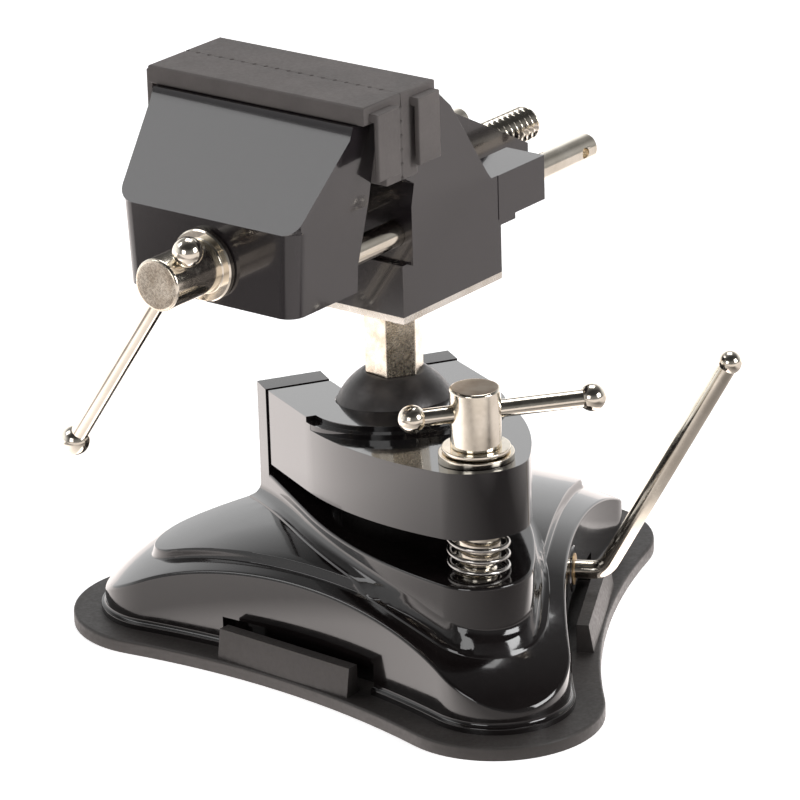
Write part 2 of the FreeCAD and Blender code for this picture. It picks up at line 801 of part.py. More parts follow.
def springs():
    reach = value("return_reach")
    radius = value("return_radius")
    wire = value("return_wire")
    crown = value("dome_crown_radius")
    inner = crown - value("casing_wall")
    roof = value("dome_height") - crown + math.sqrt(inner ** 2 - (reach + radius + wire) ** 2)
    shapes = []
    for side in (1, -1):
        spring = coil(radius, wire, value("return_turns"), value("pad_thickness + disc_thickness"), roof)
        spring.translate(polar(reach, value("lever_side") + side * QUARTER_TURN))
        shapes.append(spring)
    made("return_springs", Part.makeCompound(shapes))
    place = at(0, value("screw_back"), 0)
    under = plate_level(value("plate_height"), value("screw_back + spring_radius + spring_wire"))
    spring = coil(value("spring_radius"), value("spring_wire"), value("spring_turns"),
                  value("lower_top"), under)
    made("clamp_spring", spring, place)


# ---- clamp plate, its screw and washers


def plate_level(depth, back):
    """Height, at a place along Y, of the sloped plane a depth below the plate's rear top."""
    slope = math.radians(value("plate_slope"))
    rear = value("wall_front - plate_rear_gap")
    return value("plate_rear_top") - depth / math.cos(slope) + (rear - back) * math.tan(slope)


def sloped_slab(low, high):
    """A wide slab tilted like the plate, between two depths below its rear top."""
    wide = value("2 * pad_reach")
    slab = box(-wide, wide, -wide, wide, -low, -high)
    slab.rotate(vector(0, 0, 0), X_AXIS, -value("plate_slope"))
    slab.translate(vector(0, value("wall_front - plate_rear_gap"), value("plate_rear_top")))
    return slab


def clamp_plate():
    rear = value("wall_front - plate_rear_gap")
    tall = value("screw_head_top")
    thick = value("plate_height")
    plate = raised(clamp_face(0, rear, 0), tall).common(sloped_slab(thick, 0))
    # two ledges round the ball, down to the plateau of the nose
    ledge = value("shoulder_radius")
    back = value("shoulder_back")
    wide = value("clamp_half_width") + ledge
    ledges = ((ledge, value("shoulder_drop")), (ledge + value("shoulder_tread"), value("plateau_drop")))
    for reach, drop in ledges:
        behind = box(-wide, wide, back - reach + ledge, rear + ledge, 0, tall)
        kept = rod(reach, tall, vector(0, back, 0)).fuse(behind)
        plate = plate.cut(sloped_slab(drop, -thick).cut(kept))
    lug = value("hinge_lug_half")
    hinge_back = value("wall_front + wall_thickness / 2")
    hinge_height = value("hinge_height")
    lug_radius = value("hinge_lug_radius")
    lug_box = box(-lug, lug, rear - lug_radius, hinge_back,
                  hinge_height - lug_radius, hinge_height + lug_radius)
    lug_end = rod(lug_radius, 2 * lug, vector(-lug, hinge_back, hinge_height), X_AXIS)
    plate = plate.fuse([lug_box, lug_end])
    # socket: a bore under the ball's widest part and a round seat over it
    middle = vector(0, value("ball_back"), value("ball_height"))
    rise = value("socket_seat_rise")
    plate = plate.cut(rod(value("socket_radius"), middle.z + rise, vector(0, middle.y, 0)))
    plate = plate.cut(Part.makeSphere(value("ball_radius + ball_gap"), middle))
    notch = value("notch_half_width")
    plate = plate.cut(box(-notch, notch, middle.y, rear + ledge, value("notch_floor"), tall))
    plate = plate.cut(rod(value("screw_hole_radius"), tall, vector(0, value("screw_back"), 0)))
    pin_start = vector(-wide, hinge_back, hinge_height)
    plate = plate.cut(rod(value("hinge_radius + shaft_gap"), 2 * wide, pin_start, X_AXIS))
    made("clamp_plate", plate.removeSplitter())


def washers():
    """A taper washer lies on the sloped plate; a round-bottomed one turns with the screw."""
    place = at(0, value("screw_back"), 0)
    radius = value("washer_sphere")
    bottom = value("screw_head_bottom - upper_washer_edge")
    centre = vector(0, 0, bottom + math.sqrt(radius ** 2 - value("upper_washer_radius") ** 2))
    tall = value("screw_head_top")
    upper = rod(value("upper_washer_radius"), value("screw_head_bottom"), vector(0, 0, 0))
    upper = upper.common(Part.makeSphere(radius, centre))
    upper = upper.cut(rod(value("washer_hole"), tall, vector(0, 0, 0)))
    made("upper_washer", upper, place)
    lower = rod(value("lower_washer_radius"), value("lower_washer_top"), vector(0, 0, 0))
    lower = lower.cut(Part.makeSphere(radius + value("washer_gap"), centre))
    lower = lower.cut(rod(value("lower_washer_hole"), tall, vector(0, 0, 0)))
    under = sloped_slab(value("pad_reach"), value("plateau_drop"))
    under.translate(vector(0, -value("screw_back"), 0))
    made("lower_washer", lower.cut(under), place)


def clamp_screw():
    bottom = "screw_thread_bottom"
    outline = [("0", bottom), ("screw_thread_radius - screw_chamfer", bottom),
               ("screw_thread_radius", bottom + " + screw_chamfer"),
               ("screw_thread_radius", "screw_shank_bottom"), ("screw_shank_radius", "screw_shank_bottom"),
               ("screw_shank_radius", "screw_head_bottom"), ("screw_head_radius", "screw_head_bottom"),
               ("screw_head_radius", "screw_head_top - screw_chamfer"),
               ("screw_head_radius - screw_chamfer", "screw_head_top"), ("0", "screw_head_top")]
    start, length = both_sides("screw_head_radius")
    piece = Piece("clamp_screw").turn(outline)
    height = "screw_head_top - clamp_bar_drop"
    piece.rounds("YZ_Plane", "Pocket", [("0", height, "bar_radius + bar_gap")], start, length)
    frame = at(0, value("screw_back"), 0, Z_AXIS, value("clamp_bar_turn"))
    piece.place(frame)
    sliding_bar("clamp_bar", "clamp_bar_left", "clamp_bar_right", "bar_end_radius",
                frame * at(0, 0, value(height), Y_AXIS, QUARTER_TURN))


def sliding_bar(label, back, ahead, end_radius, place):
    """A round bar along its own Z and the two balls pressed on its ends."""

    def bar(room):
        return primitive("Cylinder", at(0, 0, -value(back)), Radius="bar_radius + " + room,
                         Height="(%s) + (%s)" % (back, ahead))

    item = bar("0")
    item.Label = label
    item.Placement = place * item.Placement
    ends = []
    for height in (-value(back), value(ahead)):
        ball = primitive("Sphere", at(0, 0, height), Radius=end_radius)
        ends.append(cut(label + "_end", ball, [bar("press_gap")]))
    group(label + "_ends", ends, place)


# ---- ball, stem and mount plate

HEX_SIDES = 6
HEX_STEP = FULL_TURN / HEX_SIDES
HEAD = at(0, value("ball_back"), 0, Z_AXIS, value("head_turn"))
JAWS = HEAD * at(0, value("jaw_line"), 0)


def ball_joint():
    flat = value("ball_height") + math.sqrt(value("ball_radius") ** 2 - value("ball_flat_radius") ** 2)
    sphere = primitive("Sphere", at(0, 0, value("ball_height")), Radius="ball_radius")
    above = primitive("Cylinder", at(0, 0, flat), Radius="ball_radius", Height="ball_radius")
    bore = primitive("Cylinder", at(0, 0, flat - value("stem_spigot_length")),
                     Radius="stem_spigot_radius + shaft_gap", Height="stem_spigot_length")
    cut("ball", sphere, [above, bore], HEAD)
    corner = "stem_corner_radius"
    bottom = "ball_height + sqrt(ball_radius^2 - ball_flat_radius^2)"
    top = "block_bottom - mount_plate_thickness"
    angles = [HEX_STEP / 2 + HEX_STEP * number for number in range(HEX_SIDES)]
    hexagon = [("%s * cos(%g)" % (corner, angle), "%s * sin(%g)" % (corner, angle)) for angle in angles]
    piece = Piece("hex_stem").pad("XY_Plane", hexagon, bottom, "%s - (%s)" % (top, bottom))
    spigot = [("0", "0", "stem_spigot_radius")]
    piece.rounds("XY_Plane", "Pad", spigot, bottom + " - stem_spigot_length", "stem_spigot_length")
    piece.rounds("XY_Plane", "Pad", spigot, top, "stem_top_spigot")
    piece.place(HEAD * at(0, 0, 0, Z_AXIS, value("stem_turn")))


def plate_screw_places():
    """The four screws, in the jaws' frame."""
    return [(side, back) for side in ("-plate_screw_side", "plate_screw_side")
            for back in ("block_front + plate_screw_inset", "block_rear - plate_screw_inset")]


def mount_plate():
    outline = rectangle("-block_half_width", "block_half_width", "block_front", "block_rear")
    under = "block_bottom - mount_plate_thickness"
    piece = Piece("mount_plate").pad("XY_Plane", outline, under, "mount_plate_thickness")
    holes = [(x, y, "plate_screw_radius + bar_gap") for x, y in plate_screw_places()]
    holes.append(("0", "-jaw_line", "stem_spigot_radius"))
    piece.rounds("XY_Plane", "Pocket", holes, under, "mount_plate_thickness").place(JAWS)
    screws = []
    low = value(under)
    for x, y in plate_screw_places():
        head = primitive("Cylinder", at(value(x), value(y), low - value("plate_screw_head_height")),
                         Radius="plate_screw_head", Height="plate_screw_head_height")
        shank = primitive("Cylinder", at(value(x), value(y), low), Radius="plate_screw_radius",
                          Height="plate_screw_length")
        screw = doc.addObject("Part::Fuse", "Screw")
        screw.Base = head
        screw.Tool = shank
        screws.append(screw)
    group("plate_screws", screws, JAWS)


# ---- jaws

FRONT = "cover_meet + cover_face + cover_seat_gap"
LEAD = JAWS * at(0, 0, value("lead_height"), X_AXIS, -QUARTER_TURN)


def bored(piece, near, far, radius, side="0", height="lead_height"):
    """A round hole along Y."""
    start, length = along_y(near, far)
    return piece.rounds("XZ_Plane", "Pocket", [(side, height, radius)], start, length)


def fixed_jaw():
    piece = Piece("fixed_jaw")
    block = rectangle("-block_half_width", "block_half_width", "block_front", "block_rear")
    piece.pad("XY_Plane", block, "block_bottom", "block_top - block_bottom")
    side_view = [("throat_front", "block_top"), ("throat_front", "throat_top - throat_slope"),
                 (FRONT, "throat_top"), (FRONT, "jaw_top"),
                 ("fixed_back", "jaw_top"), ("slope_top_back", "slope_top"),
                 ("slope_foot_back", "slope_foot"), ("slope_foot_back", "block_top")]
    start, length = both_sides("jaw_top_half")
    piece.pad("YZ_Plane", side_view, start, length)
    inner = "jaw_low_half - side_wall"
    hollow = [("gusset_half", "floor_top"), (inner, "floor_top"), (inner, "taper_start"),
              ("jaw_top_half - side_wall", "jaw_top"), ("gusset_half", "jaw_top")]
    start, length = along_y("fixed_back", "slope_foot_back")
    for outline in (hollow, mirrored(hollow)):
        piece.pocket("XZ_Plane", outline, start, length)
    gusset = [("fixed_back", "gusset_front_top"), ("slope_top_back", "gusset_front_top"),
              ("gusset_rear", "gusset_rear_top"), ("gusset_rear", "gusset_bottom"),
              ("fixed_back", "gusset_bottom")]
    start, length = both_sides("gusset_half")
    piece.pad("YZ_Plane", gusset, start, length)
    floor = rectangle("-jaw_low_half", "jaw_low_half", "fixed_back", "floor_rear")
    piece.pad("XY_Plane", floor, "block_top", "floor_top - block_top")
    arm = rectangle("rod_side - arm_half_width", "rod_side + arm_half_width", "arm_bottom", "arm_top")
    start, length = along_y("fixed_back", "arm_rear")
    for outline in (arm, mirrored(arm)):
        piece.pad("XZ_Plane", outline, start, length)
    outside = "jaw_top_half + arm_half_width"
    beyond = [("jaw_low_half", "block_bottom"), ("jaw_low_half", "taper_start"),
              ("jaw_top_half", "jaw_top"), (outside, "jaw_top"), (outside, "block_bottom")]
    start, length = along_y("0", "slope_foot_back")
    for outline in (beyond, mirrored(beyond)):
        piece.pocket("XZ_Plane", outline, start, length)
    for side in ("-rod_side", "rod_side"):
        bored(piece, "0", "arm_rear", "rod_radius + rod_gap", side, "rod_height")
    bored(piece, "0", "throat_front + nut_length", "nut_radius")
    bored(piece, "throat_front + nut_length", "gusset_rear", "lead_crest_radius + hole_room")
    spigot = [("0", "-jaw_line", "stem_spigot_radius + hole_room")]
    piece.rounds("XY_Plane", "Pocket", spigot, "block_bottom", "stem_top_spigot")
    holes = [(x, y, "plate_screw_radius") for x, y in plate_screw_places()]
    piece.rounds("XY_Plane", "Pocket", holes, "block_bottom", "plate_screw_length - mount_plate_thickness")
    piece.place(JAWS)
    outline = rectangle("lead_crest_radius + shaft_gap", "nut_radius",
                        "throat_front", "throat_front + nut_length")
    Piece("lead_nut").turn(outline).place(LEAD)


def moving_jaw():
    piece = Piece("moving_jaw")
    back = "-(%s)" % FRONT
    side_view = [(back, "jaw_top"), ("-moving_top_front", "jaw_top"), ("-slant_top_front", "slant_top"),
                 ("-slant_foot_front", "slant_foot"), ("-slant_foot_front", "jaw_bottom"),
                 ("-moving_low_back", "jaw_bottom"), ("-moving_low_back", "moving_low_height"),
                 (back, "throat_top - throat_slope")]
    start, length = both_sides("jaw_top_half")
    piece.pad("YZ_Plane", side_view, start, length)
    side = [("jaw_top_half", "slant_top"), ("jaw_mid_half", "slant_foot"), ("jaw_low_half", "jaw_bottom"),
            ("jaw_top_half + side_wall", "jaw_bottom"), ("jaw_top_half + side_wall", "slant_top")]
    start, length = along_y("-slant_foot_front", "0")
    for outline in (side, mirrored(side)):
        piece.pocket("XZ_Plane", outline, start, length)
    low = value("slant_foot")
    front = -value("slant_foot_front")

    def upright_corner(edge):
        bounds = edge.BoundBox
        steep = bounds.ZLength > bounds.XLength
        return steep and bounds.ZMax < low + TINY and bounds.YMax < front + TINY

    piece.dress("Fillet", upright_corner, "moving_front_round")
    bored(piece, "-slant_foot_front", "-(%s)" % FRONT, "lead_crest_radius + shaft_gap")
    bored(piece, "-moving_low_back", "0", "clip_radius_jaw + hole_room")
    for side in ("-rod_side", "rod_side"):
        bored(piece, "-rod_front", "0", "rod_radius", side, "rod_height")
    screws = [(side, "-rod_screw_front", "rod_screw_radius") for side in ("-rod_side", "rod_side")]
    piece.rounds("XY_Plane", "Pocket", screws, "jaw_bottom", "rod_height - rod_radius - jaw_bottom")
    piece.place(JAWS)


def guide_rods():
    for label, side in (("left_guide_rod", "-rod_side"), ("right_guide_rod", "rod_side")):
        piece = Piece(label)
        outline = [("0", "-rod_front"), ("rod_radius", "-rod_front"),
                   ("rod_radius", "rod_rear - rod_chamfer"),
                   ("rod_radius - rod_chamfer", "rod_rear"), ("0", "rod_rear")]
        piece.turn(outline)
        start, length = both_sides("rod_radius")
        hole = ("0", "rod_rear - rod_hole_back", "rod_hole_radius")
        piece.rounds("YZ_Plane", "Pocket", [hole], start, length)
        piece.place(JAWS * at(value(side), 0, value("rod_height"), X_AXIS, -QUARTER_TURN))
    screws = []
    for side in ("-rod_side", "rod_side"):
        place = at(value(side), -value("rod_screw_front"), value("jaw_bottom + rod_screw_sink"))
        screws.append(primitive("Cylinder", place, Radius="rod_screw_radius",
                                Height="rod_height - rod_radius - jaw_bottom - rod_screw_sink"))
    group("rod_screws", screws, JAWS)


def jaw_cover(label, side, reach):
    """A soft L-shaped cover, its meeting face cut with two rows of grooves, and its end clips."""
    sign = "%d * " % side
    ledge = "jaw_top + cover_seat_gap"
    face = "cover_meet + cover_face"
    top = "jaw_top + cover_thickness"
    bottom = "jaw_top - cover_drop"
    corners = [("cover_meet", bottom), ("cover_meet", top), (reach, top),
               (reach, ledge), (face, ledge), (face, bottom)]
    start, length = both_sides("cover_half")
    piece = Piece(label).pad("YZ_Plane", [("%s(%s)" % (sign, y), z) for y, z in corners], start, length)
    near = sign + "clip_tab_inset"
    far = sign + "(clip_tab_inset + clip_tab_width)"
    clip = rectangle(near, far, "jaw_top - clip_tab_drop", "jaw_top + clip_tab_rise")
    web = rectangle(near, far, "jaw_top + clip_tab_rise - clip_tab_web", "jaw_top + clip_tab_rise")
    for start in ("cover_half", "-(cover_half + clip_tab_gap)"):
        piece.pad("YZ_Plane", web, start, "clip_tab_gap")
    for start in ("cover_half + clip_tab_gap", "-(cover_half + clip_tab_gap + clip_tab_thickness)"):
        piece.pad("YZ_Plane", clip, start, "clip_tab_thickness")
    meet = sign + "cover_meet"
    root = sign + "(cover_meet + tooth_depth)"
    upright = [("-cover_half", meet), ("-cover_half + tooth_depth", root),
               ("-cover_half + 2 * tooth_depth", meet)]
    count = int(value("2 * cover_half / tooth_pitch"))
    tall = "cover_thickness + cover_drop"
    piece.row("Pocket", upright, "XY_Plane", bottom, tall, "H_Axis", "tooth_pitch", count)
    level = [(meet, bottom), (root, bottom + " + tooth_depth"), (meet, bottom + " + 2 * tooth_depth")]
    count = int(value("(%s) / tooth_pitch" % tall))
    start, length = both_sides("cover_half")
    piece.row("Pocket", level, "YZ_Plane", start, length, "V_Axis", "tooth_pitch", count)
    piece.place(JAWS)


# ---- lead screw and tommy bar


def lead_screw():
    jaw = "-slant_foot_front - face_gap"
    groove = "-moving_low_back + face_gap"
    collar = jaw + " - lead_collar_length"
    outline = [("0", "-lead_face"), ("lead_head_radius - lead_head_chamfer", "-lead_face"),
               ("lead_head_radius", "-lead_face + lead_head_chamfer"),
               ("lead_head_radius", collar), ("lead_collar_radius", collar),
               ("lead_collar_radius", jaw), ("lead_crest_radius", jaw), ("lead_crest_radius", groove),
               ("lead_groove_radius", groove), ("lead_groove_radius", groove + " + clip_thickness"),
               ("lead_crest_radius", groove + " + clip_thickness"),
               ("lead_crest_radius", "lead_rear - lead_crest_radius + lead_root_radius"),
               ("lead_root_radius", "lead_rear"), ("0", "lead_rear")]
    frame = LEAD * at(0, 0, 0, Z_AXIS, HALF_TURN - value("tommy_drop"))
    piece = Piece("lead_screw").turn(outline)
    start, length = both_sides("lead_head_radius")
    height = "tommy_in - lead_face"
    piece.rounds("YZ_Plane", "Pocket", [("0", height, "bar_radius + bar_gap")], start, length)
    piece.place(frame)
    ring = rectangle("lead_groove_radius", "clip_radius_jaw", groove, groove + " + clip_thickness")
    Piece("screw_clip").turn(ring).place(LEAD)
    short = "lead_head_radius + sqrt(tommy_end_radius^2 - (bar_radius + bar_gap)^2) + bar_stop_gap"
    across = frame * at(0, 0, value(height), Y_AXIS, QUARTER_TURN)
    sliding_bar("tommy_bar", short, "tommy_long", "tommy_end_radius", across)


def check_and_write(labels):
    """Refuse a failed or empty object, then write each sub-part to its own file."""
    doc.recompute()
    for item in doc.Objects:
        if "Invalid" in item.State or "Error" in item.State:
            raise ValueError("%s failed: %s" % (item.Label, item.State))
    os.makedirs("parts", exist_ok=True)
    for label in labels:
        shape = doc.getObjectsByLabel(label)[0].Shape
        if shape.isNull() or not shape.isValid() or shape.Volume <= 0:
            raise ValueError("%s has no valid shape" % label)
        shape.exportStep("parts/%s.step" % label)
        print("%-18s solids %d volume %.1f" % (label, len(shape.Solids), shape.Volume))


LABELS = ("suction_pad", "base_casing", "shaft_bush", "inner_bush", "hinge_pin", "screw_insert", "ball_seat",
          "lever_rod", "lever_knob", "shaft_clip", "cam", "cam_pin", "pad_stud", "backing_disc",
          "return_springs",
          "clamp_spring", "clamp_plate", "upper_washer", "lower_washer", "clamp_screw", "clamp_bar",
          "clamp_bar_ends", "ball", "hex_stem", "mount_plate", "plate_screws", "fixed_jaw", "lead_nut",
          "moving_jaw", "left_guide_rod", "right_guide_rod", "rod_screws", "fixed_cover", "moving_cover",
          "lead_screw", "screw_clip", "tommy_bar", "tommy_bar_ends")

suction_pad()
base_casing()
small_base_parts()
ball_seat()
lever()
pad_stud()
springs()
clamp_plate()
washers()
clamp_screw()
ball_joint()
mount_plate()
fixed_jaw()
moving_jaw()
guide_rods()
jaw_cover("fixed_cover", 1, "back_cover_reach")
jaw_cover("moving_cover", -1, "front_cover_reach")
lead_screw()
check_and_write(LABELS)
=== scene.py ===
"""The looks of a suction base vise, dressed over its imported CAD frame.

Sizes are written in millimetres and turned into metres by MM.  Every finished mesh lies in the frame's
own coordinates: +Z is up, -Y is the front lobe where the ball's clamp screw stands.
"""

import logging
import math
from dataclasses import dataclass
from enum import Enum
from typing import Callable, Sequence

import bmesh
import bpy
from mathutils import Matrix, Vector


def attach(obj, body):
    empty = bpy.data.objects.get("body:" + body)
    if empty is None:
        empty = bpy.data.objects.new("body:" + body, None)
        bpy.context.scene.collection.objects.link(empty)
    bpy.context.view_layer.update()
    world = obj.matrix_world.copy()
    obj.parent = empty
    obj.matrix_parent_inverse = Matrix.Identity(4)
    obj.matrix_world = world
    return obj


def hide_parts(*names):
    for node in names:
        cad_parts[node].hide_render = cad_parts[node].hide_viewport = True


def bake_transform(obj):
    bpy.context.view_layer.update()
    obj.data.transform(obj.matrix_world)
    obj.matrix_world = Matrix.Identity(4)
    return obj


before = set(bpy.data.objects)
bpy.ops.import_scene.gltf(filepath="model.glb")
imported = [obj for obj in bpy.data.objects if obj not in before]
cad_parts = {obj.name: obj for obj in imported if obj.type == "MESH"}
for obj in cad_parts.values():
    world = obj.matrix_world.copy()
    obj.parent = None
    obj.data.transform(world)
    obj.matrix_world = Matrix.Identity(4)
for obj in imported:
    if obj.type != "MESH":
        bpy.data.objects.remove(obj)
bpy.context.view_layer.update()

LOG = logging.getLogger("vise")
MM = 0.001
MERGE = 0.002 * MM
FLAT_ANGLE = math.radians(0.4)
LOBE_ANGLES = (-90.0, 30.0, 150.0)
SIDE_ANGLES = (-30.0, 90.0, 210.0)
HALF_STEP = 60.0
PRESS_GAP = 0.02
BALL_STEPS = 28
BEYOND = 60.0
BAR_ROOM = 0.08
HEAD_REACH = 12.0
HEAD_ROUND = 0.22
PATCH_RANGE = (0.35, 0.65)
GRAIN_RANGE = (0.3, 0.7)

Profile = list[tuple[float, float]]


# ---- places


def turned(x: float, y: float, z: float, axis: str = "Z", angle: float = 0.0) -> Matrix:
    """Give a place in millimetres: a turn about an axis, then a shift.

    Args:
        x: Shift along X.
        y: Shift along Y.
        z: Shift along Z.
        axis: Name of the axis of the turn.
        angle: The turn in degrees.

    Returns:
        The place as a matrix in metres.
    """
    return Matrix.Translation(Vector((x, y, z)) * MM) @ Matrix.Rotation(math.radians(angle), 4, axis)


def polar(radius: float, angle: float) -> tuple[float, float]:
    """Give X and Y at a distance from the middle, in a direction in degrees."""
    return radius * math.cos(math.radians(angle)), radius * math.sin(math.radians(angle))


@dataclass(frozen=True)
class Places:
    """Where the turned head and its screws stand."""

    ball_back: float = 6.0
    ball_height: float = 61.7
    head_turn: float = -58.1
    jaw_line: float = -41.9
    lead_height: float = 133.7
    lever_height: float = 19.5
    lever_side: float = -30.0
    screw_back: float = -57.5

    def head(self) -> Matrix:
        """Give the frame of the head, on the ball's axis."""
        return turned(0, self.ball_back, 0, "Z", self.head_turn)

    def jaws(self) -> Matrix:
        """Give the frame of the jaws: X across, Y to the rear from where they meet."""
        return self.head() @ turned(0, self.jaw_line, 0)

    def lead(self) -> Matrix:
        """Give the frame of the lead screw: Z runs to the rear along it."""
        return self.jaws() @ turned(0, 0, self.lead_height, "X", -90)

    def lever(self) -> Matrix:
        """Give the frame of the suction lever: Z runs out along its shaft, X down."""
        return turned(0, 0, self.lever_height, "Z", self.lever_side) @ turned(0, 0, 0, "Y", 90)

    def clamp(self) -> Matrix:
        """Give the frame of the clamp screw, standing on the origin's level."""
        return turned(0, self.screw_back, 0)


PLACES = Places()


# ---- meshes


def headings(count: int) -> list[float]:
    """Give evenly spaced directions in degrees."""
    return [360.0 * step / count for step in range(count)]


def lifted(outline: Profile, height: float | Callable[[float, float], float]) -> list[Vector]:
    """Stand an outline at a height, or on a surface that gives its height from X and Y."""
    return [Vector((x, y, height(x, y) if callable(height) else height)) for x, y in outline]


def circle(steps: int) -> Profile:
    """Give points round a circle of radius 1."""
    turns = [2 * math.pi * step / steps for step in range(steps)]
    return [(math.cos(turn), math.sin(turn)) for turn in turns]


def quarter(steps: int) -> Profile:
    """Give the falls 1 - cosine and 1 - sine over a quarter turn, both ends among them."""
    turns = [math.pi / 2 * step / steps for step in range(steps + 1)]
    return [(1 - math.cos(turn), 1 - math.sin(turn)) for turn in turns]


def arc(centre: tuple[float, float], radius: float, start: float, end: float, steps: int) -> Profile:
    """Give points along an arc of a profile.

    Args:
        centre: Radius and height of the arc's centre.
        radius: The arc's own radius.
        start: Angle of its first point, in radians from straight outward towards upright.
        end: Angle of its last point.
        steps: Number of steps between them.

    Returns:
        The points, both ends among them.
    """
    turns = [start + (end - start) * step / steps for step in range(steps + 1)]
    return [(centre[0] + radius * math.cos(turn), centre[1] + radius * math.sin(turn)) for turn in turns]


def ball_profile(ball: float, bar: float, centre: float = 0.0, outward: int = 1) -> Profile:
    """Give the profile of a ball that is pressed on a bar's end.

    Args:
        ball: Radius of the ball.
        bar: Radius of the bar.
        centre: Height of the ball's middle.
        outward: 1 if the bar ends upward in the ball, or else -1.

    Returns:
        The profile, from the ball's far pole to the bottom of its bore.
    """
    inner = bar + PRESS_GAP
    neck = math.pi / 2 - math.asin(inner / ball)
    points = arc((0.0, centre), ball, outward * math.pi / 2, -outward * neck, BALL_STEPS)
    return [(0.0, centre + outward * ball)] + points[1:] + [(inner, centre), (0, centre)]


class Mesher:
    """Makes and finishes meshes in the frame's own coordinates."""

    @staticmethod
    def linked(name: str, mesh: bpy.types.Mesh) -> bpy.types.Object:
        """Put a mesh in the scene as an object at the origin.

        Args:
            name: Name of the object.
            mesh: Its mesh.

        Returns:
            The object.
        """
        item = bpy.data.objects.new(name, mesh)
        bpy.context.scene.collection.objects.link(item)
        return item

    @staticmethod
    def from_bmesh(name: str, bm: bmesh.types.BMesh) -> bpy.types.Object:
        """Turn a bmesh into an object and free it.

        Args:
            name: Name of the object.
            bm: The bmesh, whose faces point outward.

        Returns:
            The object.
        """
        mesh = bpy.data.meshes.new(name)
        bm.to_mesh(mesh)
        bm.free()
        return Mesher.linked(name, mesh)

    @staticmethod
    def loops(name: str, rings: Sequence[Sequence[Vector]], place: Matrix = Matrix.Identity(4),
              close_start: bool = True, close_end: bool = True, join_ends: bool = False) -> bpy.types.Object:
        """Skin closed rings of equal count with quads.

        Args:
            name: Name of the object.
            rings: Rings of points in millimetres, each with as many points.
            place: Where the piece stands, in metres.
            close_start: Whether the first ring is capped.
            close_end: Whether the last ring is capped.
            join_ends: Whether the last ring joins the first one.

        Returns:
            The object, with its normals outward.
        """
        bm = bmesh.new()
        made = [[bm.verts.new(place @ (Vector(point) * MM)) for point in ring] for ring in rings]
        count = len(made[0])
        pairs = list(zip(made, made[1:]))
        if join_ends:
            pairs.append((made[-1], made[0]))
        for low, high in pairs:
            for index in range(count):
                following = (index + 1) % count
                bm.faces.new((low[index], low[following], high[following], high[index]))
        if close_start and not join_ends:
            bm.faces.new(list(reversed(made[0])))
        if close_end and not join_ends:
            bm.faces.new(made[-1])
        bmesh.ops.recalc_face_normals(bm, faces=bm.faces)
        return Mesher.from_bmesh(name, bm)

    @staticmethod
    def lathe(name: str, profile: Profile, place: Matrix, segments: int = 96) -> bpy.types.Object:
        """Turn a profile of radius and height about Z; its ends lie on the axis or form a ring.

        Args:
            name: Name of the object.
            profile: Radius and height in millimetres, from one end to the other.
            place: Where the piece stands, in metres.
            segments: Number of steps round the axis.

        Returns:
            The object, with its normals outward.
        """
        bm = bmesh.new()
        rings = []
        for radius, height in profile:
            if radius < MERGE:
                rings.append([bm.verts.new(place @ (Vector((0, 0, height)) * MM))])
                continue
            rings.append([bm.verts.new(place @ (Vector((radius * x, radius * y, height)) * MM))
                          for x, y in circle(segments)])
        closed = len(rings[0]) > 1
        pairs = list(zip(rings, rings[1:])) + ([(rings[-1], rings[0])] if closed else [])
        for low, high in pairs:
            for step in range(segments):
                following = (step + 1) % segments
                corners = [low[step % len(low)], low[following % len(low)],
                           high[following % len(high)], high[step % len(high)]]
                bm.faces.new(list(dict.fromkeys(corners)))
        bmesh.ops.recalc_face_normals(bm, faces=bm.faces)
        return Mesher.from_bmesh(name, bm)

    @staticmethod
    def cylinder(name: str, radius: float, low: float, high: float, place: Matrix,
                 segments: int = 64) -> bpy.types.Object:
        """Make a plain cylinder about Z, as a bar or a drill."""
        return Mesher.lathe(name, [(0, low), (radius, low), (radius, high), (0, high)], place, segments)

    @staticmethod
    def prism(name: str, outline: Profile, low: float, high: float, place: Matrix) -> bpy.types.Object:
        """Raise an outline in X and Y from one height to another."""
        return Mesher.loops(name, [lifted(outline, low), lifted(outline, high)], place)

    @staticmethod
    def block(name: str, low: tuple[float, float, float], high: tuple[float, float, float],
              place: Matrix = Matrix.Identity(4)) -> bpy.types.Object:
        """Make a plain block, used as a cutter or a rough form."""
        outline = [(low[0], low[1]), (high[0], low[1]), (high[0], high[1]), (low[0], high[1])]
        return Mesher.prism(name, outline, low[2], high[2], place)

    @staticmethod
    def sweep(name: str, path: Sequence[Vector], radius: float, place: Matrix,
              sides: int = 32) -> bpy.types.Object:
        """Run a round section along a path that turns in one plane or gently.

        Args:
            name: Name of the object.
            path: Points in millimetres.
            radius: Radius of the section.
            place: Where the piece stands, in metres.
            sides: Number of steps round the section.

        Returns:
            The object, closed at both ends.
        """
        rings = []
        side = None
        for index, point in enumerate(path):
            before, after = path[max(index - 1, 0)], path[min(index + 1, len(path) - 1)]
            along = (after - before).normalized()
            if side is None:
                side = along.orthogonal().normalized()
            side = (side - along * side.dot(along)).normalized()
            other = along.cross(side)
            rings.append([point + (side * x + other * y) * radius for x, y in circle(sides)])
        return Mesher.loops(name, rings, place)

    @staticmethod
    def node_copy(node: str, name: str) -> bpy.types.Object:
        """Copy a CAD node's mesh, with its triangles merged into whole faces.

        Args:
            node: Name of the CAD node.
            name: Name of the copy.

        Returns:
            The copy.
        """
        bm = bmesh.new()
        bm.from_mesh(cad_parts[node].data)
        bmesh.ops.remove_doubles(bm, verts=bm.verts, dist=MERGE)
        bmesh.ops.dissolve_limit(bm, angle_limit=FLAT_ANGLE, verts=bm.verts, edges=bm.edges)
        return Mesher.from_bmesh(name, bm)

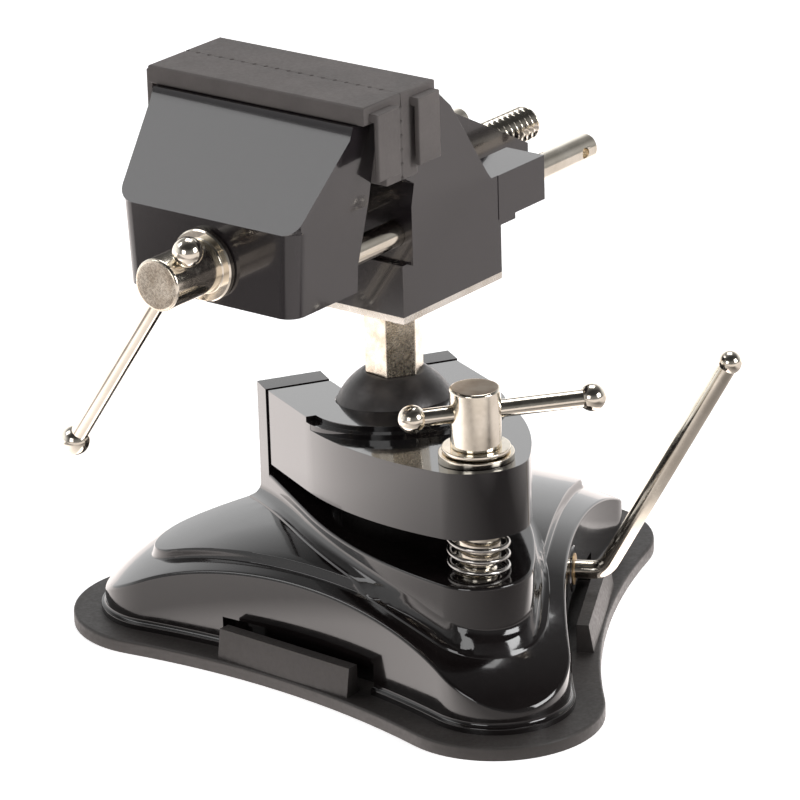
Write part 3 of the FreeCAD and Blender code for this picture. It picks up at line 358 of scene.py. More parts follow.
    @staticmethod
    def settled(item: bpy.types.Object) -> bpy.types.Object:
        """Turn the result of an object's modifiers into its plain mesh.

        Args:
            item: The object.

        Returns:
            The same object, without modifiers.
        """
        graph = bpy.context.evaluated_depsgraph_get()
        graph.update()
        mesh = bpy.data.meshes.new_from_object(item.evaluated_get(graph))
        item.modifiers.clear()
        item.data = mesh
        return item

    @staticmethod
    def combined(item: bpy.types.Object, others: Sequence[bpy.types.Object],
                 operation: str) -> bpy.types.Object:
        """Add, cut or intersect an object with others, which are used up.

        Args:
            item: The object that stays.
            others: The objects that it is combined with.
            operation: UNION, DIFFERENCE or INTERSECT.

        Returns:
            The object with its new mesh.
        """
        for other in others:
            modifier = item.modifiers.new("Combine", "BOOLEAN")
            modifier.object = other
            modifier.operation = operation
            modifier.solver = "EXACT"
        Mesher.settled(item)
        for other in others:
            bpy.data.objects.remove(other)
        return item

    @staticmethod
    def rounded(item: bpy.types.Object, width: float, segments: int = 3, angle: float = 28.0,
                weight: Callable[[Vector, Vector, float], float] | None = None) -> bpy.types.Object:
        """Round an object's sharp edges.

        Args:
            item: The object.
            width: Width of the rounding in millimetres.
            segments: Number of facets across it.
            angle: Edges sharper than this many degrees are rounded.
            weight: Share of the width for an edge, from its middle, its run and its angle in degrees.

        Returns:
            The object with its new mesh, shaded smooth.
        """
        modifier = item.modifiers.new("Round", "BEVEL")
        modifier.width = width * MM
        modifier.segments = segments
        modifier.miter_outer = "MITER_ARC"
        modifier.limit_method = "ANGLE"
        modifier.angle_limit = math.radians(angle)
        if weight:
            Mesher.weigh(item, weight)
            modifier.limit_method = "WEIGHT"
        Mesher.settled(item)
        return Mesher.smooth(item)

    @staticmethod
    def weigh(item: bpy.types.Object, weight: Callable[[Vector, Vector, float], float]) -> None:
        """Write how much of the rounding each edge gets.

        Args:
            item: The object.
            weight: Share of the width for an edge, as in rounded.
        """
        bm = bmesh.new()
        bm.from_mesh(item.data)
        layer = bm.edges.layers.float.new("bevel_weight_edge")
        for edge in bm.edges:
            start, end = [vert.co / MM for vert in edge.verts]
            turn = math.degrees(edge.calc_face_angle(0.0))
            edge[layer] = weight((start + end) / 2, end - start, turn)
        bm.to_mesh(item.data)
        bm.free()

    @staticmethod
    def smooth(item: bpy.types.Object, angle: float = 40.0) -> bpy.types.Object:
        """Shade smooth between faces that meet at less than an angle, large faces first.

        Args:
            item: The object.
            angle: The angle in degrees.

        Returns:
            The same object.
        """
        for polygon in item.data.polygons:
            polygon.use_smooth = True
        item.data.set_sharp_from_angle(angle=math.radians(angle))
        modifier = item.modifiers.new("Even", "WEIGHTED_NORMAL")
        modifier.keep_sharp = True
        return Mesher.settled(item)


# ---- finishes


class Nodes:
    """Short ways to place and join shader nodes in one tree."""

    def __init__(self, tree: bpy.types.NodeTree) -> None:
        """Hold the tree."""
        self.tree = tree

    def add(self, kind: str, **values: object) -> bpy.types.Node:
        """Place a node and set its properties.

        Args:
            kind: Type of the node.
            **values: Its properties.

        Returns:
            The node.
        """
        node = self.tree.nodes.new(kind)
        for name, value in values.items():
            setattr(node, name, value)
        return node

    def join(self, source: bpy.types.NodeSocket, target: bpy.types.NodeSocket) -> None:
        """Link two sockets."""
        self.tree.links.new(source, target)

    @staticmethod
    def fill(node: bpy.types.Node, values: dict[str, object]) -> None:
        """Set a node's inputs by their names."""
        for name, value in values.items():
            node.inputs[name].default_value = value

    def math(self, operation: str, first: bpy.types.NodeSocket,
             second: bpy.types.NodeSocket) -> bpy.types.NodeSocket:
        """Combine two values.

        Args:
            operation: Name of the operation.
            first: The first value.
            second: The second value.

        Returns:
            The result.
        """
        node = self.add("ShaderNodeMath", operation=operation)
        self.join(first, node.inputs[0])
        self.join(second, node.inputs[1])
        return node.outputs["Value"]

    def spread(self, source: bpy.types.NodeSocket, low: float, high: float,
               start: float = 0.0, end: float = 1.0) -> bpy.types.NodeSocket:
        """Map a value from one range to another, held at its ends.

        Args:
            source: The value.
            low: Start of its range.
            high: End of its range.
            start: What the start becomes.
            end: What the end becomes.

        Returns:
            The mapped value.
        """
        node = self.add("ShaderNodeMapRange")
        self.fill(node, {"From Min": low, "From Max": high, "To Min": start, "To Max": end})
        self.join(source, node.inputs["Value"])
        return node.outputs["Result"]


class Effects:
    """Shader node groups that several finishes share."""

    def __init__(self) -> None:
        """Build each group once."""
        self.speckle = self.build_speckle()
        self.brushed = self.build_brushed()

    @staticmethod
    def group(name: str, inputs: Sequence[tuple[str, float]], outputs: Sequence[tuple[str, str]]) -> tuple[
            bpy.types.NodeTree, bpy.types.Node, bpy.types.Node]:
        """Make an empty group with named sockets.

        Args:
            name: Name of the group.
            inputs: Title and value of each input.
            outputs: Title and type of each output.

        Returns:
            The group with its input and output nodes.
        """
        tree = bpy.data.node_groups.new(name, "ShaderNodeTree")
        for title, value in inputs:
            socket = tree.interface.new_socket(title, in_out="INPUT", socket_type="NodeSocketFloat")
            socket.default_value = value
        for title, kind in outputs:
            tree.interface.new_socket(title, in_out="OUTPUT", socket_type=kind)
        return tree, tree.nodes.new("NodeGroupInput"), tree.nodes.new("NodeGroupOutput")

    def build_speckle(self) -> bpy.types.NodeTree:
        """Build two sizes of noise: broad patches and fine grain, each as a value round one half.

        Returns:
            The group.
        """
        tree, given, result = self.group("speckle", (("Broad", 60.0), ("Fine", 1500.0)),
                                         (("Patches", "NodeSocketFloat"), ("Grain", "NodeSocketFloat")))
        nodes = Nodes(tree)
        place = nodes.add("ShaderNodeTexCoord").outputs["Object"]
        for socket, title in (("Broad", "Patches"), ("Fine", "Grain")):
            node = nodes.add("ShaderNodeTexNoise")
            node.inputs["Detail"].default_value = 4.0
            nodes.join(place, node.inputs["Vector"])
            nodes.join(given.outputs[socket], node.inputs["Scale"])
            nodes.join(node.outputs["Fac"], result.inputs[title])
        return tree

    def build_brushed(self) -> bpy.types.NodeTree:
        """Build fine lines round the upright axis, as turning leaves them.

        Returns:
            The group.
        """
        tree, given, result = self.group("brushed", (("Lines", 900.0), ("Stretch", 0.02)),
                                         (("Lines", "NodeSocketFloat"),))
        nodes = Nodes(tree)
        place = nodes.add("ShaderNodeTexCoord").outputs["Object"]
        squeeze = nodes.add("ShaderNodeVectorMath", operation="MULTIPLY")
        scale = nodes.add("ShaderNodeCombineXYZ")
        scale.inputs["Z"].default_value = 1.0
        nodes.join(given.outputs["Stretch"], scale.inputs["X"])
        nodes.join(given.outputs["Stretch"], scale.inputs["Y"])
        nodes.join(place, squeeze.inputs[0])
        nodes.join(scale.outputs["Vector"], squeeze.inputs[1])
        node = nodes.add("ShaderNodeTexNoise")
        nodes.join(squeeze.outputs["Vector"], node.inputs["Vector"])
        nodes.join(given.outputs["Lines"], node.inputs["Scale"])
        nodes.join(node.outputs["Fac"], result.inputs["Lines"])
        return tree


EFFECTS = Effects()


class Grain(Enum):
    """Which pattern a finish's bump follows."""

    FINE = "fine"
    TURNED = "turned"


@dataclass(frozen=True)
class Finish:
    """One surface finish and how it varies over a piece."""

    name: str
    slot: str
    colour: tuple[float, float, float]
    dark: tuple[float, float, float]
    metallic: float = 0.0
    rough: tuple[float, float] = (0.3, 0.5)
    coat: float = 0.0
    coat_rough: float = 0.06
    specular: float = 0.5
    broad: float = 45.0
    fine: float = 1400.0
    bump: float = 0.05
    bump_depth: float = 0.05
    grain: Grain = Grain.FINE

    def material(self) -> bpy.types.Material:
        """Build the material, or give it if it is built already.

        Returns:
            The material.
        """
        title = self.name + "_finish"
        found = bpy.data.materials.get(title)
        if found:
            return found
        material = bpy.data.materials.new(title)
        material.use_nodes = True
        nodes = Nodes(material.node_tree)
        shader = material.node_tree.nodes["Principled BSDF"]
        nodes.fill(shader, {"Metallic": self.metallic, "Coat Weight": self.coat,
                            "Coat Roughness": self.coat_rough, "Specular IOR Level": self.specular})
        speckle = nodes.add("ShaderNodeGroup", node_tree=EFFECTS.speckle)
        nodes.fill(speckle, {"Broad": self.broad, "Fine": self.fine})
        patches, grain = speckle.outputs["Patches"], speckle.outputs["Grain"]
        if self.grain is Grain.TURNED:
            lines = nodes.add("ShaderNodeGroup", node_tree=EFFECTS.brushed)
            grain = lines.outputs["Lines"]
        mix = nodes.add("ShaderNodeMix", data_type="RGBA")
        nodes.fill(mix, {"A": (*self.dark, 1.0), "B": (*self.colour, 1.0)})
        nodes.join(nodes.spread(patches, *PATCH_RANGE), mix.inputs["Factor"])
        nodes.join(mix.outputs["Result"], shader.inputs["Base Color"])
        nodes.join(nodes.spread(grain, *GRAIN_RANGE, *self.rough), shader.inputs["Roughness"])
        bump = nodes.add("ShaderNodeBump")
        nodes.fill(bump, {"Strength": self.bump, "Distance": self.bump_depth * MM})
        nodes.join(grain, bump.inputs["Height"])
        nodes.join(bump.outputs["Normal"], shader.inputs["Normal"])
        return material

    def dress(self, item: bpy.types.Object) -> None:
        """Give an object this finish alone."""
        item.data.materials.clear()
        item.data.materials.append(self.material())


class Finishes:
    """Every finish of the vise."""

    BLACK = Finish("black_paint", "black_paint", (0.014, 0.011, 0.011), (0.009, 0.007, 0.007),
                   rough=(0.08, 0.14), coat=0.4, coat_rough=0.03, bump=0.06, bump_depth=0.03, fine=420.0)
    SATIN = Finish("satin_paint", "black_paint", (0.026, 0.021, 0.024), (0.023, 0.019, 0.021),
                   rough=(0.13, 0.18), coat=0.5, coat_rough=0.04, bump=0.05, bump_depth=0.02, fine=900.0)
    PLATE = Finish("plate_paint", "plate_paint", (0.012, 0.010, 0.010), (0.008, 0.006, 0.007),
                   rough=(0.06, 0.11), coat=0.4, coat_rough=0.02, bump=0.05, bump_depth=0.03, fine=420.0)
    PAD = Finish("pad_rubber", "pad_rubber", (0.060, 0.053, 0.050), (0.044, 0.039, 0.037),
                 rough=(0.42, 0.60), bump=0.35, bump_depth=0.06, fine=900.0)
    COVER = Finish("cover_rubber", "cover_rubber", (0.185, 0.165, 0.158), (0.145, 0.130, 0.125),
                   rough=(0.55, 0.72), bump=0.45, bump_depth=0.08, fine=1100.0, specular=0.4)
    NICKEL = Finish("nickel_plate", "nickel", (0.86, 0.80, 0.70), (0.74, 0.68, 0.58), metallic=1.0,
                    rough=(0.10, 0.20), bump=0.10, bump_depth=0.02, broad=120.0, fine=600.0)
    CAST_NICKEL = Finish("cast_nickel", "nickel", (0.84, 0.77, 0.66), (0.60, 0.52, 0.42), metallic=1.0,
                         rough=(0.18, 0.34), bump=0.5, bump_depth=0.05, broad=260.0, fine=1500.0)
    TURNED = Finish("turned_nickel", "nickel", (0.80, 0.70, 0.58), (0.62, 0.50, 0.38), metallic=1.0,
                    rough=(0.22, 0.36), bump=0.4, bump_depth=0.03, broad=180.0, grain=Grain.TURNED)
    ZINC = Finish("zinc_steel", "zinc_steel", (0.80, 0.77, 0.72), (0.66, 0.62, 0.56), metallic=1.0,
                  rough=(0.20, 0.32), bump=0.2, bump_depth=0.02, broad=160.0, fine=900.0)
    BALL = Finish("ball_coat", "ball_coat", (0.075, 0.070, 0.070), (0.042, 0.038, 0.038), metallic=0.35,
                  rough=(0.30, 0.46), bump=0.35, bump_depth=0.04, broad=110.0, fine=900.0)
    BRONZE = Finish("bronze", "bronze", (0.60, 0.42, 0.22), (0.46, 0.32, 0.17), metallic=1.0,
                    rough=(0.30, 0.45), bump=0.3, fine=1500.0)
    SPRING = Finish("spring_steel", "spring_steel", (0.62, 0.60, 0.57), (0.48, 0.46, 0.44), metallic=1.0,
                    rough=(0.16, 0.26), bump=0.1)
    RESIN = Finish("seat_resin", "seat_resin", (0.030, 0.030, 0.031), (0.022, 0.022, 0.023),
                   rough=(0.25, 0.35), bump=0.15)


# ---- putting pieces in place


def place_piece(item: bpy.types.Object, finish: Finish, body: str, *nodes: str) -> None:
    """Finish a piece and let it ride on a body, in the place of CAD nodes if any are named.

    Args:
        item: The piece.
        finish: Its finish.
        body: The body.
        *nodes: The CAD nodes.
    """
    finish.dress(item)
    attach(item, body)
    if nodes:
        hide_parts(*nodes)
    LOG.info("%s rides on %s with %d faces", item.name, body, len(item.data.polygons))


def refinish(item: bpy.types.Object, finish: Finish,
             chosen: Callable[[bpy.types.MeshPolygon], bool]) -> None:
    """Give some faces of a finished piece a second finish.

    Args:
        item: The piece.
        finish: The second finish.
        chosen: Tells whether a face gets it.
    """
    item.data.materials.append(finish.material())
    for face in item.data.polygons:
        if chosen(face):
            face.material_index = 1


@dataclass(frozen=True)
class RoundedPiece:
    """A CAD node's own form with its edges rounded."""

    node: str
    name: str
    body: str
    finish: Finish
    width: float
    segments: int = 2
    angle: float = 28.0
    weight: Callable[[Vector, Vector, float], float] | None = None

    def dress(self) -> None:
        """Round a copy of the node and put it in the node's place."""
        item = Mesher.node_copy(self.node, self.name)
        Mesher.rounded(item, self.width, self.segments, self.angle, self.weight)
        place_piece(item, self.finish, self.body, self.node)


# ---- the suction base


@dataclass(frozen=True)
class LobedOutline:
    """Three round tips joined by hollowed sides, about the upright axis."""

    reach: float
    tip: float
    side: float

    def inward(self, inset: float) -> "LobedOutline":
        """Give the outline drawn in by an inset."""
        return LobedOutline(self.reach - inset, self.tip - inset, self.side - inset)

    def radius(self, angle: float) -> float:
        """Give the distance from the middle to the outline in a direction in degrees.

        Args:
            angle: The direction.

        Returns:
            The distance.
        """
        if self.side >= self.reach:
            return self.reach
        out = self.reach - self.tip
        hollow = (self.tip ** 2 - self.side ** 2 + out * self.side - out ** 2) / (
            2 * self.side - out - 2 * self.tip)
        away = abs((angle - LOBE_ANGLES[0] + HALF_STEP) % (2 * HALF_STEP) - HALF_STEP)
        turn = math.radians(away)
        centre = Vector(polar(1.0, HALF_STEP)) * (self.side + hollow)
        leaving = Vector((out, 0.0)) + (centre - Vector((out, 0.0))).normalized() * self.tip
        if turn <= math.atan2(leaving.y, leaving.x):
            return out * math.cos(turn) + math.sqrt(max(self.tip ** 2 - (out * math.sin(turn)) ** 2, 0.0))
        off = math.radians(HALF_STEP) - turn
        span = centre.length
        return span * math.cos(off) - math.sqrt(hollow ** 2 - (span * math.sin(off)) ** 2)

    def ring(self, height: float | Callable[[float, float], float], count: int) -> list[Vector]:
        """Give the outline as a number of points at a height, or at the height of a surface."""
        return lifted([polar(self.radius(angle), angle) for angle in headings(count)], height)


PAD_OUTLINE = LobedOutline(99.4, 30.0, 58.0)
WALL_OUTLINE = PAD_OUTLINE.inward(9.6)
STEP_OUTLINE = LobedOutline(75.0, 13.5, 42.4)


def fade(value: float) -> float:
    """Give a smooth ramp from 0 to 1."""
    held = min(max(value, 0.0), 1.0)
    return held * held * (3 - 2 * held)


@dataclass
class BaseCasing:
    """The cast base: a lobed dome with a raised step, the lower clamp body and the back wall."""

    count: int = 480
    floor: float = 4.0
    dome_height: float = 34.0
    dome_reach: float = 94.0
    step_height: float = 2.6
    step_width: float = 0.6
    flange_width: float = 1.4
    flange_top: float = 5.8
    flare: float = 1.1
    rim: float = 0.8
    flange_round: tuple[tuple[float, float], ...] = ((0.0, 0.4), (0.12, 0.12), (0.4, 0.0))
    flare_share: float = 0.6
    middle_reach: float = 20.0
    middle_shares: tuple[float, ...] = (0.12, 0.3, 0.5, 0.75, 1.0)
    pole: float = 0.05
    rows: int = 6
    flare_rows: int = 4
    dome_rows: int = 8
    wall: float = 3.0
    hollow_shares: tuple[float, ...] = (0.8, 0.6, 0.4, 0.2, 0.02)
    inner_side: float = 41.4
    inner_half: float = 31.0
    body_half: float = 30.0
    body_nose: float = 15.5
    nose_back: float = -56.5
    flank_start: float = 2.0
    side_steps: int = 8
    flank_steps: int = 32
    nose_steps: int = 20
    body_low: float = 18.0
    body_top: float = 40.0
    top_round: tuple[tuple[float, float], ...] = ((0.0, 1.0), (0.12, 0.4), (0.4, 0.12), (0.9, 0.0))
    foot: float = 3.0
    bead: float = 0.5
    wall_front: float = 33.9
    wall_rear: float = 41.5
    wall_top: float = 66.5
    notch: float = 10.2
    notch_floor: float = 52.4
    slot: float = 9.3
    slot_floor: float = 42.7
    pin_height: float = 47.4
    recess_near: float = 44.4
    recess_half: float = 28.0
    recess_top: float = 13.1
    boss_radius: float = 7.0
    boss_near: float = 42.7
    boss_far: float = 48.7
    boss_round: float = 0.4
    bush_radius: float = 4.62
    seat_radius: float = 17.1
    seat_depth: float = 5.4
    bore_radius: float = 5.6
    bore_floor: float = 8.0
    insert_radius: float = 7.4
    insert_floor: float = 26.4
    pin_radius: float = 2.01
    pin_left: float = 17.0
    pin_right: float = 40.0
    cut_past: float = 2.0
    wall_round: float = 0.7

    def dome(self, x: float, y: float) -> float:
        """Give the height of the plain dome over a point."""
        share = (x * x + y * y) / self.dome_reach ** 2
        return self.dome_height * math.sqrt(max(1 - share, 0.0))

    def surface(self, x: float, y: float) -> float:
        """Give the height of the dome with its raised step over a point."""
        inside = STEP_OUTLINE.radius(math.degrees(math.atan2(y, x))) - math.hypot(x, y)
        return self.dome(x, y) + self.step_height * fade(0.5 + inside / (2 * self.step_width))

    def ring_between(self, outer: LobedOutline, inner: LobedOutline, share: float) -> list[Vector]:
        """Give a ring on the surface at a share of the way from one outline to another.

        Args:
            outer: The first outline.
            inner: The second one.
            share: The share of the way.

        Returns:
            The points of the ring.
        """
        outline = [polar(outer.radius(angle) * (1 - share) + inner.radius(angle) * share, angle)
                   for angle in headings(self.count)]
        return lifted(outline, self.surface)

    def shell(self) -> bpy.types.Object:
        """Build the lobed shell, still solid: flange, wall, rounded rim, dome and step.

        Returns:
            The shell.
        """
        outline = WALL_OUTLINE
        edge = outline.inward(-self.flange_width)
        rings = [edge.ring(self.floor, self.count)]
        for inset, drop in self.flange_round:
            rings.append(edge.inward(inset).ring(self.flange_top - drop, self.count))
        for rise, fall in quarter(self.flare_rows):
            gap = self.flange_width * self.flare_share * fall
            rings.append(outline.inward(-gap).ring(self.flange_top + self.flare * rise, self.count))
        foot = self.flange_top + self.flare
        for row in range(1, self.rows + 1):
            share = row / self.rows
            rings.append(outline.ring(
                lambda x, y: foot + (self.dome(x, y) - self.rim - foot) * share, self.count))
        for inset, drop in quarter(self.rows)[1:]:
            rings.append(outline.inward(self.rim * inset).ring(
                lambda x, y: self.dome(x, y) - self.rim * drop, self.count))
        near, far = outline.inward(self.rim), STEP_OUTLINE.inward(-self.step_width)
        for row in range(1, self.dome_rows + 1):
            rings.append(self.ring_between(near, far, row / self.dome_rows))
        for row in range(1, self.dome_rows + 1):
            off = self.step_width * (2 * row / self.dome_rows - 1)
            rings.append(STEP_OUTLINE.inward(off).ring(self.surface, self.count))
        middle = LobedOutline(self.middle_reach, self.middle_reach, self.middle_reach)
        for share in self.middle_shares:
            rings.append(self.ring_between(STEP_OUTLINE.inward(self.step_width), middle, share))
        pole = [(point.x * self.pole, point.y * self.pole) for point in rings[-1]]
        rings.append(lifted(pole, self.surface))
        return Mesher.loops("casing_shell", rings)

    def hollow(self) -> bpy.types.Object:
        """Build the space under the shell, to be cut from it.

        Returns:
            The space as a solid.
        """
        rings = [self.inner_ring(0.0), self.inner_ring(1.0)]
        edge = rings[-1]
        for share in self.hollow_shares:
            inner = [(point.x * share, point.y * share) for point in edge]
            rings.append(lifted(inner, lambda x, y: self.dome(x, y) - self.wall))
        return Mesher.loops("hollow", rings)

    def inner_ring(self, top: float) -> list[Vector]:
        """Give the hollow's wall as a ring at its floor or, with a top of 1, under the dome.

        Args:
            top: Share of the way up from its floor.

        Returns:
            The points of the ring.
        """
        points = []
        for angle in headings(self.count):
            radius = WALL_OUTLINE.inward(self.wall).radius(angle)
            for side in SIDE_ANGLES:
                turn = math.radians(angle - side)
                if math.cos(turn) > 0 and abs(radius * math.sin(turn)) < self.inner_half:
                    radius = min(radius, self.inner_side / math.cos(turn))
            x, y = polar(radius, angle)
            low = self.floor - 1.0
            points.append(Vector((x, y, low + (self.dome(x, y) - self.wall - low) * top)))
        return points

    def body_outline(self, grow: float, back: float) -> Profile:
        """Give the plan of the lower clamp body, grown by a margin, with its rear end at a place.

        Args:
            grow: The margin.
            back: Where the rear end lies.

        Returns:
            The plan.
        """
        half, nose = self.body_half + grow, self.body_nose + grow
        shoulder = self.flank_start
        flank = (half ** 2 + (shoulder - self.nose_back) ** 2 - nose ** 2) / (2 * (half - nose))
        pivot = Vector((half - flank, shoulder))
        centre = Vector((0.0, self.nose_back))
        end = math.atan2(centre.y - pivot.y, centre.x - pivot.x)
        right = [(half, back - (back - shoulder) * step / self.side_steps) for step in range(self.side_steps)]
        right += arc((pivot.x, pivot.y), flank, 0.0, end, self.flank_steps)
        right += arc((0.0, self.nose_back), nose, end, -math.pi / 2, self.nose_steps)[1:]
        return right[::-1] + [(-x, y) for x, y in right[:-1]]

    def body(self) -> bpy.types.Object:
        """Build the lower clamp body with its flared foot on the dome.

        Returns:
            The body.
        """
        back = self.wall_rear
        ledge = self.bead + 0.02
        foot_profile = [(self.foot + 0.9, -1.2), (self.foot + 0.8, 0.1), (self.foot + 0.55, self.bead),
                        (self.foot + 0.1, ledge)]
        foot_profile += [(self.foot * fall, ledge + self.foot * rise)
                         for rise, fall in quarter(self.rows)[1:]]
        rings = [lifted(self.body_outline(self.foot, back), self.body_low)]
        for grow, rise in foot_profile:
            rings.append(lifted(self.body_outline(grow, back), lambda x, y: self.surface(x, y) + rise))
        for inset, drop in self.top_round:
            rings.append(lifted(self.body_outline(-inset, back), self.body_top - drop))
        return Mesher.loops("clamp_body", rings)

    def build(self) -> bpy.types.Object:
        """Build the whole casting and cut its recesses, seat, holes and slots.

        Returns:
            The casting.
        """
        shell = self.shell()
        wall_half = self.body_half - 0.02
        wall = Mesher.block("back_wall", (-wall_half, self.wall_front, self.body_top - 2.0),
                            (wall_half, self.wall_rear - 0.01, self.wall_top))
        boss_place = PLACES.lever()
        radius, rounding = self.boss_radius, self.boss_round
        boss = Mesher.lathe("boss", [(0, self.boss_near), (radius, self.boss_near),
                                     (radius, self.boss_far - rounding),
                                     (radius - rounding, self.boss_far), (0, self.boss_far)], boss_place, 64)
        recesses = [Mesher.block("recess", (self.recess_near, -self.recess_half, self.floor - 3.0),
                                 (PAD_OUTLINE.side + 10.0, self.recess_half, self.recess_top),
                                 turned(0, 0, 0, "Z", side)) for side in SIDE_ANGLES]
        casing = Mesher.combined(shell, recesses, "DIFFERENCE")
        casing = Mesher.combined(casing, [self.body(), wall, boss], "UNION")
        front, rear = self.wall_front - self.cut_past, self.wall_rear + self.cut_past
        bore = [(0, self.bore_floor), (self.bore_radius, self.bore_floor),
                (self.bore_radius, self.insert_floor), (self.insert_radius, self.insert_floor),
                (self.insert_radius, BEYOND), (0, BEYOND)]
        hinge = turned(0, (self.wall_front + self.wall_rear) / 2, self.pin_height, "Y", 90)
        cutters = [
            self.hollow(),
            Mesher.cylinder("seat_cut", self.seat_radius, self.body_top - self.seat_depth, BEYOND,
                            turned(0, PLACES.ball_back, 0), 96),
            Mesher.lathe("screw_cut", bore, PLACES.clamp(), 64),
            Mesher.cylinder("shaft_cut", self.bush_radius, BEYOND / 2, BEYOND, boss_place),
            Mesher.block("notch_cut", (-self.notch, front, self.notch_floor),
                         (self.notch, rear, self.wall_top + 3)),
            Mesher.block("slot_cut", (-self.slot, front, self.slot_floor),
                         (self.slot, rear, self.notch_floor + 1)),
            Mesher.cylinder("pin_cut", self.pin_radius, -self.pin_left, self.pin_right, hinge, 48)]
        casing = Mesher.combined(casing, cutters, "DIFFERENCE")
        casing.name = "cast_base"
        return casing

    def edge_share(self, middle: Vector, run: Vector, turn: float) -> float:
        """Round only the long sharp edges of the wall over the clamp body."""
        upper = middle.z > self.body_top + 1.0 and middle.y > self.wall_front - 0.5
        return 1.0 if upper and turn > 40 and run.length > 1.0 else 0.0

    def dress(self) -> None:
        """Round the wall's edges, paint the casting and put it in the CAD node's place."""
        casing = self.build()
        Mesher.rounded(casing, self.wall_round, 3, weight=self.edge_share)
        place_piece(casing, Finishes.BLACK, "base", "base_casing")


@dataclass
class SuctionPad:
    """The rubber pad with its pull tabs."""

    edge: float = 0.45
    tab_outer: float = 57.2
    tab_top: float = 12.5
    near: float = 0.1
    lean: float = 1.4

    def dress(self) -> None:
        """Lean the tabs' outer faces in, round the pad's edges and give it its rubber."""
        pad = Mesher.node_copy("suction_pad", "rubber_pad")
        for side in SIDE_ANGLES:
            ahead = Vector((*polar(1.0, side), 0.0))
            for vertex in pad.data.vertices:
                high = vertex.co.z > (self.tab_top - self.near) * MM
                if high and vertex.co.dot(ahead) > (self.tab_outer - self.near) * MM:
                    vertex.co -= ahead * self.lean * MM
        Mesher.rounded(pad, self.edge, 3)
        place_piece(pad, Finishes.PAD, "base", "suction_pad")


# ---- the clamp, its springs and the lever


@dataclass
class ClampPlate:
    """The upper clamp plate, its washers, screw and sliding bar."""

    edge: float = 0.55
    washer_edge: float = 0.25
    head_radius: float = 7.15
    head_bottom: float = 76.9
    head_top: float = 94.0
    chamfer: float = 0.8
    shank: float = 6.2
    shank_bottom: float = 42.6
    thread: float = 5.0
    thread_depth: float = 0.8
    thread_crest: float = 0.2
    thread_end: float = 0.5
    bevel: float = 0.3
    face_inset: float = 2.4
    face_sinks: tuple[float, float] = (0.02, 0.05)
    pitch: float = 1.75
    thread_bottom: float = 20.0
    bar_height: float = 86.8
    bar_turn: float = -6.0
    bar_radius: float = 2.5
    bar_left: float = 18.0
    bar_right: float = 33.5
    ball: float = 3.9

    def dress(self) -> None:
        """Build the plate and everything that hangs on its screw."""
        nickel, edge = Finishes.NICKEL, self.washer_edge
        for piece in (RoundedPiece("clamp_plate", "upper_clamp", "plate", Finishes.PLATE, self.edge, 3),
                      RoundedPiece("lower_washer", "taper_washer", "plate", nickel, edge),
                      RoundedPiece("upper_washer", "round_washer", "screw_washer", nickel, edge)):
            piece.dress()
        self.screw()
        bars = BarPair("clamp_handle", "clamp_bar", "clamp_bar_ends", "clamp_handle_bar", self.bar_radius,
                       self.bar_left, self.bar_right, self.ball)
        place = PLACES.clamp() @ turned(0, 0, self.bar_height, "Z", self.bar_turn)
        bars.dress(place @ turned(0, 0, 0, "Y", 90))

    def screw(self) -> None:
        """Build the clamp screw with its cross-drilled head."""
        cut, bevel, crest = self.chamfer, self.bevel, self.thread_crest
        profile = [(0, self.thread_bottom), (self.thread - cut, self.thread_bottom),
                   (self.thread, self.thread_bottom + cut)]
        height = self.thread_bottom + cut
        while height + self.pitch < self.shank_bottom - self.thread_end:
            profile += [(self.thread, height + crest),
                        (self.thread - self.thread_depth, height + self.pitch / 2),
                        (self.thread, height + self.pitch - crest)]
            height += self.pitch
        profile += [(self.thread, self.shank_bottom), (self.shank - bevel, self.shank_bottom),
                    (self.shank, self.shank_bottom + bevel), (self.shank, self.head_bottom),
                    (self.head_radius - bevel, self.head_bottom),
                    (self.head_radius, self.head_bottom + bevel)]
        profile += arc((self.head_radius - cut, self.head_top - cut), cut, 0.0, math.pi / 2, 5)
        profile += [(self.head_radius - self.face_inset, self.head_top - self.face_sinks[0]),
                    (0, self.head_top - self.face_sinks[1])]
        place = PLACES.clamp() @ turned(0, 0, 0, "Z", self.bar_turn)
        screw = Mesher.lathe("tee_screw", profile, place, 112)
        drill = Mesher.cylinder("drill", self.bar_radius + BAR_ROOM, -HEAD_REACH, HEAD_REACH,
                                place @ turned(0, 0, self.bar_height, "Y", 90))
        Mesher.combined(screw, [drill], "DIFFERENCE")
        Mesher.rounded(screw, HEAD_ROUND, 2, angle=50)
        place_piece(screw, Finishes.NICKEL, "clamp_screw", "clamp_screw")
        top = (self.head_top - 0.3) * MM
        refinish(screw, Finishes.TURNED, lambda face: face.center.z > top and abs(face.normal.z) > 0.9)


@dataclass
class BarPair:
    """A sliding bar with a ball pressed on each end."""

    body: str
    bar_node: str
    ends_node: str
    name: str
    radius: float
    back: float
    ahead: float
    ball: float

    def dress(self, place: Matrix) -> None:
        """Build the bar and its two balls along the Z axis of a place.

        Args:
            place: The place, where Z is 0 at the middle of the hole that the bar runs through.
        """
        bar = Mesher.cylinder(self.name, self.radius, -self.back, self.ahead, place)
        Mesher.smooth(bar)
        place_piece(bar, Finishes.NICKEL, self.body, self.bar_node)
        bm = bmesh.new()
        for centre, outward in ((-self.back, -1), (self.ahead, 1)):
            end = Mesher.lathe("bar_ball", ball_profile(self.ball, self.radius, centre, outward), place, 64)
            bm.from_mesh(end.data)
            bpy.data.objects.remove(end)
        ends = Mesher.from_bmesh(self.name + "_balls", bm)
        Mesher.smooth(ends, 50)
        place_piece(ends, Finishes.NICKEL, self.body, self.ends_node)


